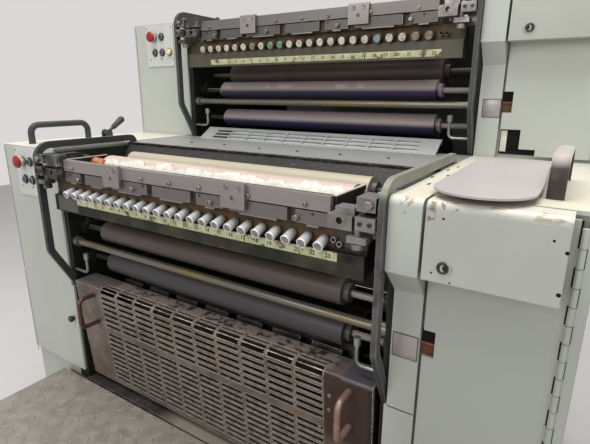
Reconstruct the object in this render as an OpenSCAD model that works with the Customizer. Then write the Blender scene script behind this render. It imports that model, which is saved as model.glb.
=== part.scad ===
// Two-colour offset printing press, seen from the inking side.
// Two inking units step up towards the back between side cabinets.
// X runs along the rollers, Y away from the operator, Z up from the floor.
// Unit sizes are taken from the middle of that unit's row of ink keys.

/* [Press] */
// Width over the side cabinets
press_w = 1484; // [1470:2:1560]
// Clear width between the upper side covers
gap_w = 956; // [940:2:1000]
// Distance from the front key row to the rear one
unit_pitch = 506; // [490:1:540]
// Height of the rear key row above the front one
unit_rise = 375; // [365:1:390]
// Depth of the rear unit behind its front cover
rear_depth = 592; // [520:2:700]
// Height of the front key row above the footboard
key_over_foot = 590; // [585:1:620]
// Height of the cabinet tops above the key row
top_h = 99; // [96:1:110]
// Distance of the cabinet fronts behind the knob faces
cover_y = 52; // [50:1:56]
// Thickness of the cover sheets
cover_t = 6; // [4:0.5:8]

/* [Footboard] */
// Height of the tread above the floor
foot_z = 400; // [250:10:500]
// Depth of the tread
foot_d = 440; // [300:10:600]
// How far its left end stops short of the left cabinet
foot_short = 168; // [40:2:300]
// Thickness of the tread plate
tread_t = 6; // [4:1:8]
// Height of the folded rim
foot_rim = 60; // [30:5:100]

/* [Side frames] */
// How far each frame stands inside the edge of its cover
frame_step = 16; // [12:1:20]
// Thickness of each frame
frame_t = 40; // [34:1:50]

/* [Ink keys] */
// Number of ink keys in a row
key_n = 23; // [11:1:23]
// Spacing of the ink keys
key_pitch = 32.5; // [24:0.5:32.5]
// Length of a knob
knob_l = 28; // [20:1:32]
// Diameter of a knob
knob_d = 18; // [12:1:20]
// Upward slope of the key screws
key_slope = 18; // [12:1:20]
// Diameter of a key screw
stem_d = 7; // [5:0.5:8]

/* [Rollers] */
// Radius of the fountain roller
fountain_r = 40; // [34:0.5:41]
// Radius of the transfer roller
transfer_r = 27; // [22:0.5:28]
// Radius of the upper roller
upper_r = 27; // [22:0.5:29]
// Radius of the lower roller
lower_r = 29; // [24:0.5:31]
// Radius of the plate cylinder
cylinder_r = 105; // [95:0.5:108]
// Radius of the back roller
back_r = 36; // [30:0.5:38]
// Distance from each frame to the roller faces
roller_inset = 102; // [96:1:120]
// Radius of the roller journals
journal_r = 7; // [6:0.5:9]
// Running clearance of a journal in its bore
bore_gap = 0.05; // [0.02:0.01:0.09]
// Radius of the tie rod across the gap
rod_r = 9; // [7:0.5:11]

/* [Front guard] */
// Sheet thickness of the guard
guard_t = 4; // [3:0.5:5]
// Side gap between the guard and each frame
guard_gap = 12; // [8:1:20]
// Width of the plain panel at each end of the guard
panel_w = 102; // [80:1:120]
// Depth of the top plate
guard_deep = 65; // [60:1:70]
// Length of the sloping front
guard_long = 306; // [300:1:308]
// Backward lean of the front
guard_lean = 4.7; // [3:0.1:6]
// Radius of the rounded top corner
guard_round = 16; // [12:1:20]
// Number of slot columns
slot_cols = 10; // [6:1:12]
// Height of a slot
slot_h = 10; // [6:0.5:11]
// Width of the bars between the columns
slot_bar = 7; // [5:0.5:12]

/* [Right doors] */
// Width of the column cover beside each door
column_w = 49; // [45:1:54]
// How far the column nose and the door box stand forward
nose_d = 46; // [30:1:48]
// Height of the nose and the door box
nose_h = 119; // [100:1:125]
// Gap around the doors
door_gap = 5; // [5:0.5:6]
// Radius of the hinge knuckles
knuckle_r = 4.5; // [4:0.1:5]
// Pitch of the hinge knuckles
knuckle_pitch = 27.5; // [22:0.5:32]

/* [Handrails] */
// Width of the flat handrail bar
rail_w = 10; // [8:0.5:10]
// Depth of the flat handrail bar
rail_d = 18; // [14:1:20]
// Height of the rails above the key row
rail_z = 113; // [110:1:128]

/* [Rear step] */
// Length of the slotted step up its slope
step_long = 63; // [56:1:70]
// Slope of the step
step_rise = 32; // [24:1:38]
// How far it stops short of each frame
step_short = 67; // [60:1:80]

/* [Hidden] */
$fn = 48;

// Colours of the finishes
cabinet_paint = [0.73, 0.76, 0.71];
frame_paint = [0.19, 0.23, 0.20];
dark_iron = [0.16, 0.15, 0.14];
bright_steel = [0.62, 0.60, 0.58];
guard_brown = [0.33, 0.29, 0.26];
roller_brown = [0.22, 0.20, 0.20];
tube_grey = [0.25, 0.26, 0.26];
knob_white = [0.85, 0.85, 0.83];

// Places derived from the driving sizes
half_w = press_w / 2;
half_gap = gap_w / 2;
frame_in = half_gap - frame_step;
frame_out = frame_in + frame_t;
foot_left = half_w - foot_short;
roller_half = frame_in - roller_inset;
guard_half = frame_in - guard_gap;
field_half = guard_half - panel_w;
slot_pitch = 2 * field_half / slot_cols;
rail_x = frame_in + rail_w / 2;
key_z = foot_z + key_over_foot;
foot_back = cover_y - 4;
rear_y = cover_y + unit_pitch + rear_depth;
key_y = -(foot_back - foot_d + rear_y) / 2;
skirt_drop = 563;
seam_drop = 290;
lower_step = 8;
sill_t = 6;
sill_z = foot_z + 2;
sill_d = 60;
base_z = sill_z - sill_t;
plinth_set = 10;
skin_gap = 0.3;
wall_y = 283;
roller_len = 2 * roller_half;
frame_front = cover_y + cover_t;
frame_top = top_h - cover_t;
through = 1;

// Roller axes from the key row, as depth and height
fountain_at = [140, 42];
transfer_at = [214, 58];
back_at = [168, -72];
upper_at = [110, -122];
lower_at = [122, -212];
cylinder_at = [222, -322];
rod_at = [76, -158];

// Guard corner and hinge from the key row
guard_at = [48, -265];
hinge_up = 10;

// Carries a part of unit 0, the front one, or unit 1, the rear one
module at_unit(i) {
  translate([0, key_y + i * unit_pitch, key_z + i * unit_rise]) children();
}

// Runs a depth and height outline along X from one place to another
module along_x(from, to) {
  translate([from, 0, 0]) rotate([90, 0, 90]) linear_extrude(to - from) children();
}

// Repeats a part on both sides of the press
module both_sides() {
  children();
  mirror([1, 0, 0]) children();
}

// A box between two corners
module block(low, high) {
  translate(low) cube(high - low);
}

// A cylinder along X between two places
module bar_x(from, to, r) {
  translate([from, 0, 0]) rotate([0, 90, 0]) cylinder(r = r, h = to - from);
}

// Points of an arc, for the corners of outlines
function arc(c, r, from, to, n) =
  [for (i = [0 : n]) let (a = from + (to - from) * i / n) c + r * [cos(a), sin(a)]];

// Carries a cross-section along a flat route with round bends, its first side to the left
module bent_bar(route, bend) {
  n = len(route) - 1;
  for (i = [0 : n - 1]) {
    u = heading(route, i);
    cut_a = i == 0 ? 0 : bend * tan(abs(turn_at(route, i)) / 2);
    cut_b = i == n - 1 ? 0 : bend * tan(abs(turn_at(route, i + 1)) / 2);
    a = route[i] + u * cut_a;
    translate([a[0], a[1], 0]) rotate([0, 0, atan2(u[1], u[0])]) rotate([90, 0, 90])
      linear_extrude(norm(route[i + 1] - route[i]) - cut_a - cut_b) children();
  }
  for (i = [1 : n - 1]) {
    u = heading(route, i - 1);
    t = turn_at(route, i);
    start = route[i] - u * bend * tan(abs(t) / 2);
    centre = start + sign(t) * bend * [-u[1], u[0]];
    from = atan2(start[1] - centre[1], start[0] - centre[0]) + (t < 0 ? t : 0);
    translate([centre[0], centre[1], 0]) rotate([0, 0, from])
      rotate_extrude(angle = abs(t)) translate([bend, 0]) mirror([t < 0 ? 0 : 1, 0, 0]) children();
  }
}

// A round tube along a flat route
module bent_tube(route, r, bend) {
  bent_bar(route, bend) circle(r = r);
}

// Turn of a route at one of its inner points, positive to the left
function turn_at(route, i) =
  let (u = route[i] - route[i - 1], v = route[i + 1] - route[i],
       t = atan2(v[1], v[0]) - atan2(u[1], u[0]))
  t > 180 ? t - 360 : t < -180 ? t + 360 : t;

// Stands a flat route up in the depth and height plane at one X
module stand_up(x) {
  translate([x, 0, 0]) rotate([90, 0, 90]) children();
}

// The plinth under both units, set back below the cabinet skirts
module base_plinth() {
  front = key_y + cover_y + plinth_set;
  back = key_y + rear_y - plinth_set;
  side = half_w - plinth_set;
  color(cabinet_paint) {
    block([-side, front, 0], [side, back, base_z]);
    both_sides() block([frame_out, front, base_z - through], [side, back, key_z - skirt_drop]);
  }
}

// The plain ledge between the footboard and the guard
module sill_plate() {
  color(bright_steel)
    block([-frame_in, key_y + foot_back + door_gap, sill_z - sill_t],
          [frame_in, key_y + cover_y + sill_d, sill_z]);
}

// The chequered tread with its folded rim and legs
module footboard() {
  back = key_y + foot_back;
  front = back - foot_d;
  leg = 40;
  color(dark_iron) {
    block([-foot_left, front, foot_z - tread_t], [half_w, back, foot_z]);
    difference() {
      block([-foot_left, front, foot_z - foot_rim], [half_w, back, foot_z - tread_t]);
      block([-foot_left + tread_t, front + tread_t, foot_z - foot_rim - through],
            [half_w - tread_t, back - tread_t, foot_z - tread_t]);
    }
    for (x = [-foot_left, half_w - leg])
      block([x, back - tread_t, foot_z - foot_rim], [x + leg, key_y + cover_y + plinth_set,
             foot_z - foot_rim + tread_t * 5]);
    for (x = [-foot_left, (half_w - foot_left - leg) / 2, half_w - leg])
      for (y = [front, back - leg])
        block([x, y, 0], [x + leg, y + leg, foot_z - tread_t]);
  }
}

// A cast side frame, stepped with the units and bored for the rollers
module side_frame() {
  difference() {
    color(frame_paint)
      translate([0, key_y, key_z]) along_x(frame_in, frame_out)
        polygon([[frame_front, base_z - key_z], [rear_y - cover_t, base_z - key_z],
                 [rear_y - cover_t, unit_rise + frame_top],
                 [unit_pitch + frame_front, unit_rise + frame_top],
                 [unit_pitch + frame_front, frame_top], [frame_front, frame_top]]);
    for (i = [0, 1]) at_unit(i) for (p = [transfer_at, back_at, upper_at, lower_at, cylinder_at])
      translate([0, p[0], p[1]])
        bar_x(frame_in - through, frame_out + through, journal_r + bore_gap);
    at_unit(0) translate([0, hinge_y(), hinge_z()])
      bar_x(frame_in - through, frame_out + through, pin_r + bore_gap);
  }
}

module side_frames() {
  side_frame();
  mirror([1, 0, 0]) side_frame();
}

// Plan of a left cabinet, drawn on the right, with a front lip reaching in to one place
module cabinet_plan(inner, back) {
  r = 10;
  lip = cover_y + cover_t;
  polygon(concat(inner < frame_out ? [[frame_out, lip], [inner, lip], [inner, cover_y]]
                                   : [[frame_out, cover_y]],
                 arc([half_w - r, cover_y + r], r, -90, 0, 6),
                 [[half_w, back], [frame_out, back]]));
}

// One height band of a left cabinet
module cabinet_band(i, inner, back, low, high) {
  at_unit(i) mirror([1, 0, 0]) translate([0, 0, low]) linear_extrude(high - low)
    cabinet_plan(inner, back);
}

module near_left_cabinet() {
  back = cover_y + unit_pitch;
  color(cabinet_paint) {
    cabinet_band(0, half_gap, back, -skirt_drop, top_h);
    cabinet_band(0, half_gap - lower_step, back, -skirt_drop, -seam_drop);
  }
}

module far_left_cabinet() {
  back = cover_y + rear_depth;
  color(cabinet_paint) {
    cabinet_band(1, half_gap, back, top_h - unit_rise, top_h);
    cabinet_band(1, frame_out, back, -skirt_drop - unit_rise, top_h);
  }
}

// The housing behind a right door, with its top plate reaching in over the frame
module right_cabinet(bottom, back, inner_back) {
  front = cover_y + cover_t + door_gap;
  block([frame_out, front, bottom], [half_w, back, top_h]);
  block([frame_out, cover_y + cover_t, frame_top], [half_w, back, top_h]);
  block([column_x, cover_y + cover_t, frame_top], [frame_out + 1, inner_back, top_h]);
}

module near_right_cabinet() {
  color(cabinet_paint) at_unit(0) right_cabinet(-skirt_drop, near_back, unit_pitch + frame_front);
}

module far_right_cabinet() {
  back = cover_y + rear_depth;
  color(cabinet_paint) at_unit(1)
    right_cabinet(-skirt_drop - unit_rise, back, back - cover_t);
}

near_back = cover_y + cover_t + door_gap + unit_pitch;

// X of the column cover, of its nose and of the door edges
column_x = half_gap - 3;
nose_x = column_x - 2;
door_x = column_x + column_w + door_gap;
pin_x = half_w - 19;
door_end = pin_x - knuckle_r - 2;
nose_y = cover_y - nose_d;
nose_z = top_h - nose_h;

// The column cover between the gap and the door, with its nose above
module right_column(i, bottom) {
  r = 12;
  slope = nose_d;
  end = column_x + column_w;
  at_unit(i) {
    along_x(nose_x, end)
      polygon(concat([[cover_y + cover_t, nose_z], [cover_y + cover_t, top_h]],
                     arc([nose_y + r, top_h - r], r, 90, 180, 6), [[nose_y, nose_z]]));
    along_x(column_x, end)
      polygon([[cover_y + cover_t, bottom], [cover_y + cover_t, nose_z + r],
               [nose_y + r, nose_z + r], [nose_y, nose_z], [cover_y, nose_z - slope],
               [cover_y, bottom]]);
    if (i == 0)
      block([column_x - lower_step + 3, cover_y, bottom],
            [column_x + 3, cover_y + cover_t, -seam_drop]);
    block([frame_out, cover_y + cover_t / 2, bottom],
          [end, cover_y + cover_t + door_gap, frame_top]);
  }
}

module right_columns() {
  color(cabinet_paint) {
    right_column(0, -skirt_drop);
    right_column(1, top_h - unit_rise);
  }
}

// Height range of a door in its unit
function door_low(i) = i == 0 ? -skirt_drop + 4 : top_h - unit_rise + 7;
door_top = top_h - cover_t - door_gap;

// Knuckles from one height up, every second one, round the pin
module knuckles(i, odd, bore) {
  n = floor((door_top - 10 - door_low(i)) / knuckle_pitch);
  for (k = [odd : 2 : n - 1])
    translate([pin_x, cover_y - 2, door_low(i) + 5 + k * knuckle_pitch + 0.5])
      difference() {
        cylinder(r = knuckle_r, h = knuckle_pitch - 1);
        if (bore) translate([0, 0, -through])
          cylinder(r = hinge_pin_r + bore_gap, h = knuckle_pitch + 2 * through);
      }
}

hinge_pin_r = 2.2;
leaf_t = 2.4;

// The fixed hinge leaf of one door with its pin and knuckles
module hinge_strip(i) {
  at_unit(i) {
    n = floor((door_top - 10 - door_low(i)) / knuckle_pitch);
    low = door_low(i) + 5;
    high = low + n * knuckle_pitch;
    knuckles(i, 0, false);
    translate([pin_x, cover_y - 2, low]) cylinder(r = hinge_pin_r, h = high - low);
    for (k = [0 : 2 : n - 1])
      block([pin_x, cover_y - 2, low + k * knuckle_pitch + 0.5],
            [half_w - 1, cover_y - 2 + leaf_t, low + (k + 1) * knuckle_pitch - 0.5]);
    block([pin_x + knuckle_r + 1, cover_y - 2, low],
          [half_w - 1, cover_y + cover_t + door_gap, door_top + 3]);
  }
}

module hinge_strips() {
  color(cabinet_paint) {
    hinge_strip(0);
    hinge_strip(1);
  }
}

// A door panel with its finger cut-out and hinge knuckles. The rear door's stepped corner
// passes over the tray on the cabinet below it.
module right_door(i) {
  low = door_low(i);
  cut_w = 19;
  cut_low = -172;
  cut_high = -125;
  corner = [44, 59];
  toe = [79, 15];
  n = floor((door_top - 10 - low) / knuckle_pitch);
  at_unit(i) {
    difference() {
      block([door_x, cover_y, low], [door_end, cover_y + cover_t, door_top]);
      block([door_x - through, cover_y - through, cut_low],
            [door_x + cut_w, cover_y + cover_t + through, cut_high]);
      if (i == 1)
        for (step = [corner, toe])
          block([door_x - through, cover_y - through, low - through],
                [door_x + step[0], cover_y + cover_t + through, low + step[1]]);
    }
    knuckles(i, 1, true);
    for (k = [1 : 2 : n - 1])
      block([door_end - 1, cover_y - 0.6, low + 5 + k * knuckle_pitch + 0.5],
            [pin_x - hinge_pin_r - 0.8, cover_y + 2, low + 5 + (k + 1) * knuckle_pitch - 0.5]);
  }
}

module near_right_door() {
  color(cabinet_paint) right_door(0);
}

module far_right_door() {
  color(cabinet_paint) right_door(1);
}

// The box on the upper part of a door, with its lock
module door_box(i) {
  r = 12;
  box_end = door_end - 8;
  lock_x = door_x + 35;
  lock_r = 8;
  at_unit(i) {
    difference() {
      along_x(door_x, box_end)
        polygon(concat([[cover_y, nose_z], [cover_y, top_h]],
                       arc([nose_y + r, top_h - r], r, 90, 180, 6), [[nose_y, nose_z]]));
      translate([lock_x, nose_y - through, 4]) rotate([-90, 0, 0])
        cylinder(r = lock_r, h = 4 + through);
    }
    translate([lock_x, nose_y - 2, 4]) rotate([-90, 0, 0]) difference() {
      cylinder(r = lock_r, h = 6);
      translate([0, 0, -through]) cylinder(r = lock_r - 3, h = 3 + through);
    }
  }
}

module near_door_box() {
  color(cabinet_paint) door_box(0);
}

module far_door_box() {
  color(cabinet_paint) door_box(1);
}

// A push-button panel on the front of a left cabinet, its buttons in rows and columns
module control_panel() {
  left = 70 - half_w;
  wide = 134;
  low = -41;
  high = 94;
  plate_t = 3;
  column = wide * 0.27;
  first = left + wide * 0.31;
  row_z = [56, 5];
  block([left, cover_y - plate_t, low], [left + wide, cover_y, high]);
  for (b = [[1, 0], [0, 1], [1, 1], [2, 1]])
    translate([first + b[0] * column, cover_y - plate_t, row_z[b[1]]]) rotate([90, 0, 0]) {
      cylinder(r = 12, h = 3);
      cylinder(r = 9, h = 7);
    }
  translate([first, cover_y - plate_t, row_z[0]]) rotate([90, 0, 0]) {
    cylinder(r = 12, h = 4);
    cylinder(r = 7, h = 16);
    translate([0, 0, 14]) cylinder(r1 = 17, r2 = 13, h = 9);
  }
}

module control_panels() {
  color(cabinet_paint) {
    at_unit(0) control_panel();
    at_unit(1) control_panel();
  }
}

// One side line of a flat bar along a route with round bends, shifted to the left of the way
function ribbon_side(route, bend, shift) =
  let (n = len(route) - 1, first = heading(route, 0), last = heading(route, n - 1))
  concat([route[0] + shift * [-first[1], first[0]]],
         [for (i = [1 : n - 1])
            let (u = heading(route, i - 1), t = turn_at(route, i), s = sign(t),
                 c = route[i] - u * bend[i - 1] * tan(abs(t) / 2) + s * bend[i - 1] * [-u[1], u[0]],
                 start = atan2(u[1], u[0]) - s * 90)
            each arc(c, bend[i - 1] - s * shift, start, start + t, 6)],
         [route[n] + shift * [-last[1], last[0]]]);

// Direction of one leg of a route
function heading(route, i) = (route[i + 1] - route[i]) / norm(route[i + 1] - route[i]);

// A list in the opposite order
function backwards(list) = [for (i = [len(list) - 1 : -1 : 0]) list[i]];

// A handrail of flat bar, from the front of the frame up and back along the gap
module rail(i, back) {
  front = 2;
  knee = -166;
  foot = -296;
  bends = [34, 34, 13];
  seat = back > wall_y ? top_h : frame_top;
  ground = i == 0 ? foot - rail_d : frame_top - unit_rise;
  route = [[cover_y + 20, foot], [front, knee], [front, rail_z], [back, rail_z], [back, seat]];
  at_unit(i) difference() {
    along_x(rail_x - rail_w / 2, rail_x + rail_w / 2)
      polygon(concat(ribbon_side(route, bends, rail_d / 2),
                     backwards(ribbon_side(route, bends, -rail_d / 2))));
    block([rail_x - rail_w, frame_front, foot - rail_d], [rail_x + rail_w, cover_y + 60, 0]);
    block([rail_x - rail_w, front, foot - 2 * rail_d], [rail_x + rail_w, cover_y + 60, ground]);
  }
}

// Four handrails, one on each side of both units
module handrails() {
  color(tube_grey) {
    mirror([1, 0, 0]) rail(0, 300);
    rail(0, 400);
    mirror([1, 0, 0]) rail(1, 215);
    rail(1, 400);
  }
}

// The grab handle on top of the front left cabinet
module left_grab_handle() {
  front = 96;
  back = 276;
  high = 53;
  color(tube_grey) at_unit(0) stand_up(85 - half_w)
    bent_tube([[front, top_h], [front, top_h + high], [back, top_h + high], [back, top_h]],
              9, 24);
}

// The round-fronted tray sheet on the front right cabinet, on three spacers
module fan_tray() {
  lift = 10;
  sheet = 3;
  right = half_w - 80;
  r = (right - frame_out - 18) / 2;
  left = right - 2 * r;
  nose = [right - r, cover_y + 23];
  end = cover_y + unit_pitch - 118;
  spacers = [[left + 28, nose[1] + 45], [right - 20, nose[1] + 45], [left + 48, end - 140]];
  color([0.78, 0.76, 0.74]) at_unit(0) translate([0, 0, top_h]) {
    translate([0, 0, lift]) linear_extrude(sheet)
      polygon(concat(arc(nose, r, 180, 360, 24),
                     [[right, nose[1] + r], [right - 12, end], [left - 14, end],
                      [left, end - 92]]));
    for (p = spacers) translate([p[0], p[1], 0]) cylinder(r = 8, h = lift);
  }
}

// The broad arched handle beside the tray, crowned on its outer side
module arch_handle() {
  front = cover_y + 60;
  back = front + 190;
  high = 61;
  band = 4;
  crown = 2.5;
  wide = 24;
  crown_r = (wide * wide / 4 + crown * crown) / (2 * crown);
  sweep = asin(wide / 2 / crown_r);
  x = half_w - 74 + wide / 2;
  color(tube_grey) at_unit(0) stand_up(x)
    bent_bar([[front, top_h], [front, top_h + high], [back, top_h + high], [back, top_h]], 36)
      polygon(concat([[-band, wide / 2], [-band, -wide / 2]],
                     arc([crown - crown_r, 0], crown_r, -sweep, sweep, 6)));
}

// The sloping wall behind the rollers and the top plate of a unit
module top_cover(i, back) {
  edge = wall_y;
  drop = 60;
  at_unit(i) {
    block([4 - frame_out, edge, frame_top], [column_x, back, top_h]);
    along_x(-frame_in, frame_in)
      polygon([[edge, frame_top], [edge, top_h - 1], [edge + 5, top_h - 1], [edge + 5, frame_top],
               [edge - 35, frame_top - drop], [edge - 40, frame_top - drop]]);
  }
}

module top_covers() {
  color(bright_steel) {
    top_cover(0, cover_y + unit_pitch - door_gap);
    top_cover(1, cover_y + rear_depth - cover_t);
  }
}

// The outline of a folded guard sheet in depth and height
module guard_outline(r) {
  t = guard_t;
  corner = guard_at;
  c = corner + [r * tan(45 + guard_lean / 2), -r];
  foot = corner + down_face() * guard_long;
  inward = [cos(guard_lean), sin(guard_lean)];
  polygon(concat([corner + [guard_deep, -3 * t], corner + [guard_deep, 0]],
                 arc(c, r, 90, 180 + guard_lean, 8), [foot, foot + inward * t],
                 arc(c, r - t, 180 + guard_lean, 90, 8),
                 [corner + [guard_deep - t, -t], corner + [guard_deep - t, -3 * t]]));
}

// The way down the face of the guard
function down_face() = [sin(guard_lean), -cos(guard_lean)];

// One row of slots, cut square to the sheet at a point and an angle
module slot_row(at, angle) {
  w = slot_pitch - slot_bar;
  for (k = [0 : slot_cols - 1])
    translate([(k - (slot_cols - 1) / 2) * slot_pitch, at[0], at[1]]) rotate([angle, 0, 0])
      cube([w, 6 * guard_t, slot_h], center = true);
}

// Slot rows on the top plate and round the corner
module corner_slots() {
  c = guard_at + [guard_round * tan(45 + guard_lean / 2), -guard_round];
  mid = guard_round - guard_t / 2;
  slot_row([c[0] + 8, guard_at[1] - guard_t / 2], 90);
  for (a = [112, 156]) slot_row(c + mid * [cos(a), sin(a)], a);
}

// Slot rows down the sloping front, from one distance on
module front_slots(from, rows, step) {
  for (k = [0 : rows - 1])
    slot_row(guard_at + down_face() * (from + k * step) + [guard_t / 2, 0], guard_lean);
}

pin_r = 6;
function hinge_y() = guard_at[0] + sin(guard_lean) * (guard_long - hinge_up) + 12;
function hinge_z() = guard_at[1] - cos(guard_lean) * (guard_long - hinge_up);

// The hinged front guard: slotted field, end panels, cheeks and hinge pins
module near_guard() {
  cheek = 4;
  foot = guard_at + down_face() * guard_long;
  color(guard_brown) at_unit(0) difference() {
    union() {
      along_x(-field_half, field_half)
        guard_outline(guard_round);
      both_sides() {
        along_x(field_half, guard_half)
          guard_outline(guard_t + 1);
        along_x(guard_half - cheek, guard_half)
          polygon([guard_at + [6, -6], guard_at + [guard_deep, -guard_t],
                   guard_at + [guard_deep, -30], foot + [24, 0], foot + [2, 0]]);
        translate([0, hinge_y(), hinge_z()]) bar_x(guard_half - cheek, frame_in + 20, pin_r);
      }
    }
    corner_slots();
    front_slots(28, 6, 17);
    front_slots(143, 10, 16);
  }
}

// The two tube handles on the end panels of the guard
module near_guard_handles() {
  reach = 44;
  low = -372;
  high = -290;
  r = 6;
  grips = [27 - guard_half + panel_w / 2, guard_half - 48];
  color([0.66, 0.50, 0.38]) at_unit(0) for (x = grips)
    intersection() {
      stand_up(x) bent_tube([[guard_at[0] + 30, high], [guard_at[0] - reach, high],
                             [guard_at[0] - reach, low], [guard_at[0] + 30, low]],
                            r, 16);
      along_x(x - 20, x + 20)
        polygon([guard_at + [-2 * reach, 0], guard_at,
                 guard_at + down_face() * (guard_at[1] - low + 2 * r),
                 guard_at + [-2 * reach, low - guard_at[1] - 2 * r]]);
    }
}

// The sloping slotted step at the foot of the rear unit, standing on the front cover
module far_step_grille() {
  t = guard_t;
  lip = 12;
  half = frame_in - step_short;
  foot = [nose_y, top_h - unit_rise];
  up = [cos(step_rise), sin(step_rise)];
  top = foot + up * step_long;
  color(guard_brown) at_unit(1) difference() {
    along_x(-half, half)
      polygon([foot, top, top + [t, 0], top + [t, -lip], top + [0, -lip],
               top + [0, -t / cos(step_rise)], foot + [t / sin(step_rise), 0]]);
    for (k = [0 : 2])
      slot_row(foot + up * (13 + k * 1.6 * slot_h) + [up[1], -up[0]] * t / 2, 90 + step_rise);
  }
}

// The plain back of the press between the cabinets
module rear_cover() {
  color(cabinet_paint) translate([0, key_y, key_z])
    block([-frame_out, rear_y - cover_t, base_z - key_z],
          [frame_out, rear_y, unit_rise + top_h]);
}

// The bright rods across the gap, one in each unit, with a collar at each frame
module tie_rods() {
  color(bright_steel) for (i = [0, 1]) at_unit(i) translate([0, rod_at[0], rod_at[1]]) {
    bar_x(-frame_in, frame_in, rod_r);
    bar_x(-frame_in, -frame_in + 16, rod_r + 5);
    bar_x(frame_in - 16, frame_in, rod_r + 5);
  }
}

// The ink duct casting with its trough, blade and end plates
bar_back = 24;
duct_half = roller_half + 12;
cast_half = frame_in - 28;
blade_tip = [102, 15];

module ink_duct(i) {
  cheek = 6;
  at_unit(i) {
    difference() {
      union() {
        along_x(-duct_half, duct_half)
          polygon([[34, 27], [bar_back, 28], [bar_back, 84], [bar_back + 5, 84],
                   [bar_back + 9, 62], blade_tip, blade_tip - [4, 10], [66, -34], [34, -34]]);
        along_x(-cast_half, cast_half)
          polygon([[16, -50], [16, -10], [26, -8], [34, 27], [60, 27], [60, -40], [44, -50]]);
      }
      key_places() rotate([-90 + key_slope, 0, 0])
        cylinder(r = stem_d / 2 + skin_gap, h = 62);
    }
    both_sides() along_x(duct_half, duct_half + cheek)
      polygon([[bar_back, 34], [bar_back, 84], [fountain_at[0], 84], [fountain_at[0], 76],
               [100, 52], [62, 20], [34, 20]]);
  }
}

module ink_ducts() {
  color(frame_paint) {
    ink_duct(0);
    ink_duct(1);
  }
}

// Places a child at every ink key of a row
module key_places() {
  for (k = [0 : key_n - 1])
    translate([(k - (key_n - 1) / 2) * key_pitch, 0, 0]) children();
}

// One ink key: a knob with a dished face on its screw
module ink_key() {
  dish = 1.5;
  r = knob_d / 2;
  rotate([-90 + key_slope, 0, 0]) {
    rotate_extrude()
      polygon([[0, dish], [r - 3.5, dish], [r - 2.5, 0], [r - 1, 0], [r, 1.5],
               [r - 0.6, knob_l - 2], [r - 2, knob_l], [0, knob_l]]);
    cylinder(r = stem_d / 2, h = knob_l + 30);
  }
}

module ink_keys() {
  color(knob_white) for (i = [0, 1]) at_unit(i) key_places() ink_key();
}

// The steel bars across the front of a duct, with their clamp blocks
module duct_bar(i) {
  face = 13;
  slit = 9;
  steps = [-duct_half, -300, -200, -64, 64, 150, 296, duct_half];
  at_unit(i) {
    block([-duct_half, face, 57], [duct_half, bar_back, 84]);
    for (k = [0 : len(steps) - 2]) {
      from = steps[k] + (k == 0 ? 0 : slit);
      to = steps[k + 1] - (k == len(steps) - 2 ? 0 : slit);
      along_x(from, to) polygon([[face + 1, 31], [face + 1, 54], [bar_back, 54],
                                 [bar_back, 31]]);
      block([from + 22, face + 1, 27], [to - 22, bar_back, 31]);
    }
    for (x = [-180, 173])
      difference() {
        union() {
          block([x - 28, face - 9, 38], [x + 28, face, 87]);
          block([x - 9, face - 1, 52], [x + 9, bar_back, 58]);
        }
        for (p = [[-14, 77], [14, 77], [0, 58]])
          translate([x + p[0], face - 10, p[1]]) rotate([-90, 0, 0]) cylinder(r = 5, h = 4);
      }
  }
}

module duct_bars() {
  color(bright_steel) {
    duct_bar(0);
    duct_bar(1);
  }
}

// The carrier at one end of a duct, with its blocks and the fountain roller's bearing
module duct_mount(cap_from, cap_low, cap_high) {
  bearing_r = 30;
  hole = [duct_half + 26, 52];
  stud = [frame_in - 33, -1];
  difference() {
    union() {
      along_x(cast_half, frame_in)
        polygon([[30, 20], [30, 74], [60, 90], [96, 90], [164, 64], [164, 20], [110, 6]]);
      translate([0, fountain_at[0], fountain_at[1]])
        bar_x(cast_half - 26, frame_in, bearing_r);
      block([duct_half + 6, -6, 38], [cast_half - 14, 31, 62]);
      block([cap_from, -2, cap_low], [cast_half - 12, 24, cap_high]);
      block([cast_half - 30, 12, 60], [cast_half, 31, 70]);
      block([cast_half - 7, -6, 72], [frame_in - 4, 36, 94]);
      block([cast_half - 6, -12, 43], [frame_in - 2, 30, 64]);
      block([frame_in - 46, -14, 22], [frame_in - 14, 12, 32]);
      translate([stud[0], stud[1], 10]) {
        cylinder(r = 5, h = 34);
        cylinder(r = 10, h = 9);
      }
    }
    translate([0, fountain_at[0], fountain_at[1]])
      bar_x(cast_half - 30, frame_in + through, journal_r + bore_gap);
    translate([hole[0], -6 - through, hole[1]]) rotate([-90, 0, 0]) cylinder(r = 6, h = 12);
  }
}

module duct_mounts() {
  color(bright_steel) for (i = [0, 1]) at_unit(i) {
    duct_mount(duct_half + 17, 60, 74);
    mirror([1, 0, 0]) duct_mount(duct_half + 3, 68, 95);
  }
}

// The sockets on the frames that hold the journals of the two front rollers
module roller_sockets() {
  deep = 20;
  r = 19;
  color(dark_iron) for (i = [0, 1]) at_unit(i) both_sides() for (p = [upper_at, lower_at])
    difference() {
      union() {
        translate([0, p[0], p[1]]) bar_x(frame_in - deep, frame_in, r);
        block([frame_in - deep + 4, p[0], p[1] - 13], [frame_in, p[0] + 38, p[1] + 13]);
        translate([frame_in - deep / 2, p[0], p[1] + r - 2]) cylinder(r = 5, h = 9);
      }
      translate([0, p[0], p[1]])
        bar_x(frame_in - deep - through, frame_in + through, journal_r + bore_gap);
    }
}

// The bent rods that latch the lower rollers, one beside each frame
module roller_catches() {
  reach = frame_in - 54;
  foot_at = -238;
  head_at = -186;
  color(bright_steel) for (i = [0, 1]) at_unit(i) both_sides()
    translate([0, 64, 0]) rotate([90, 0, 0]) {
      bent_tube([[frame_in, foot_at], [reach, foot_at], [reach, head_at]], 4, 12);
      translate([reach, head_at - 12, 0]) rotate([-90, 0, 0]) cylinder(r = 7, h = 16);
    }
}

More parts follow.
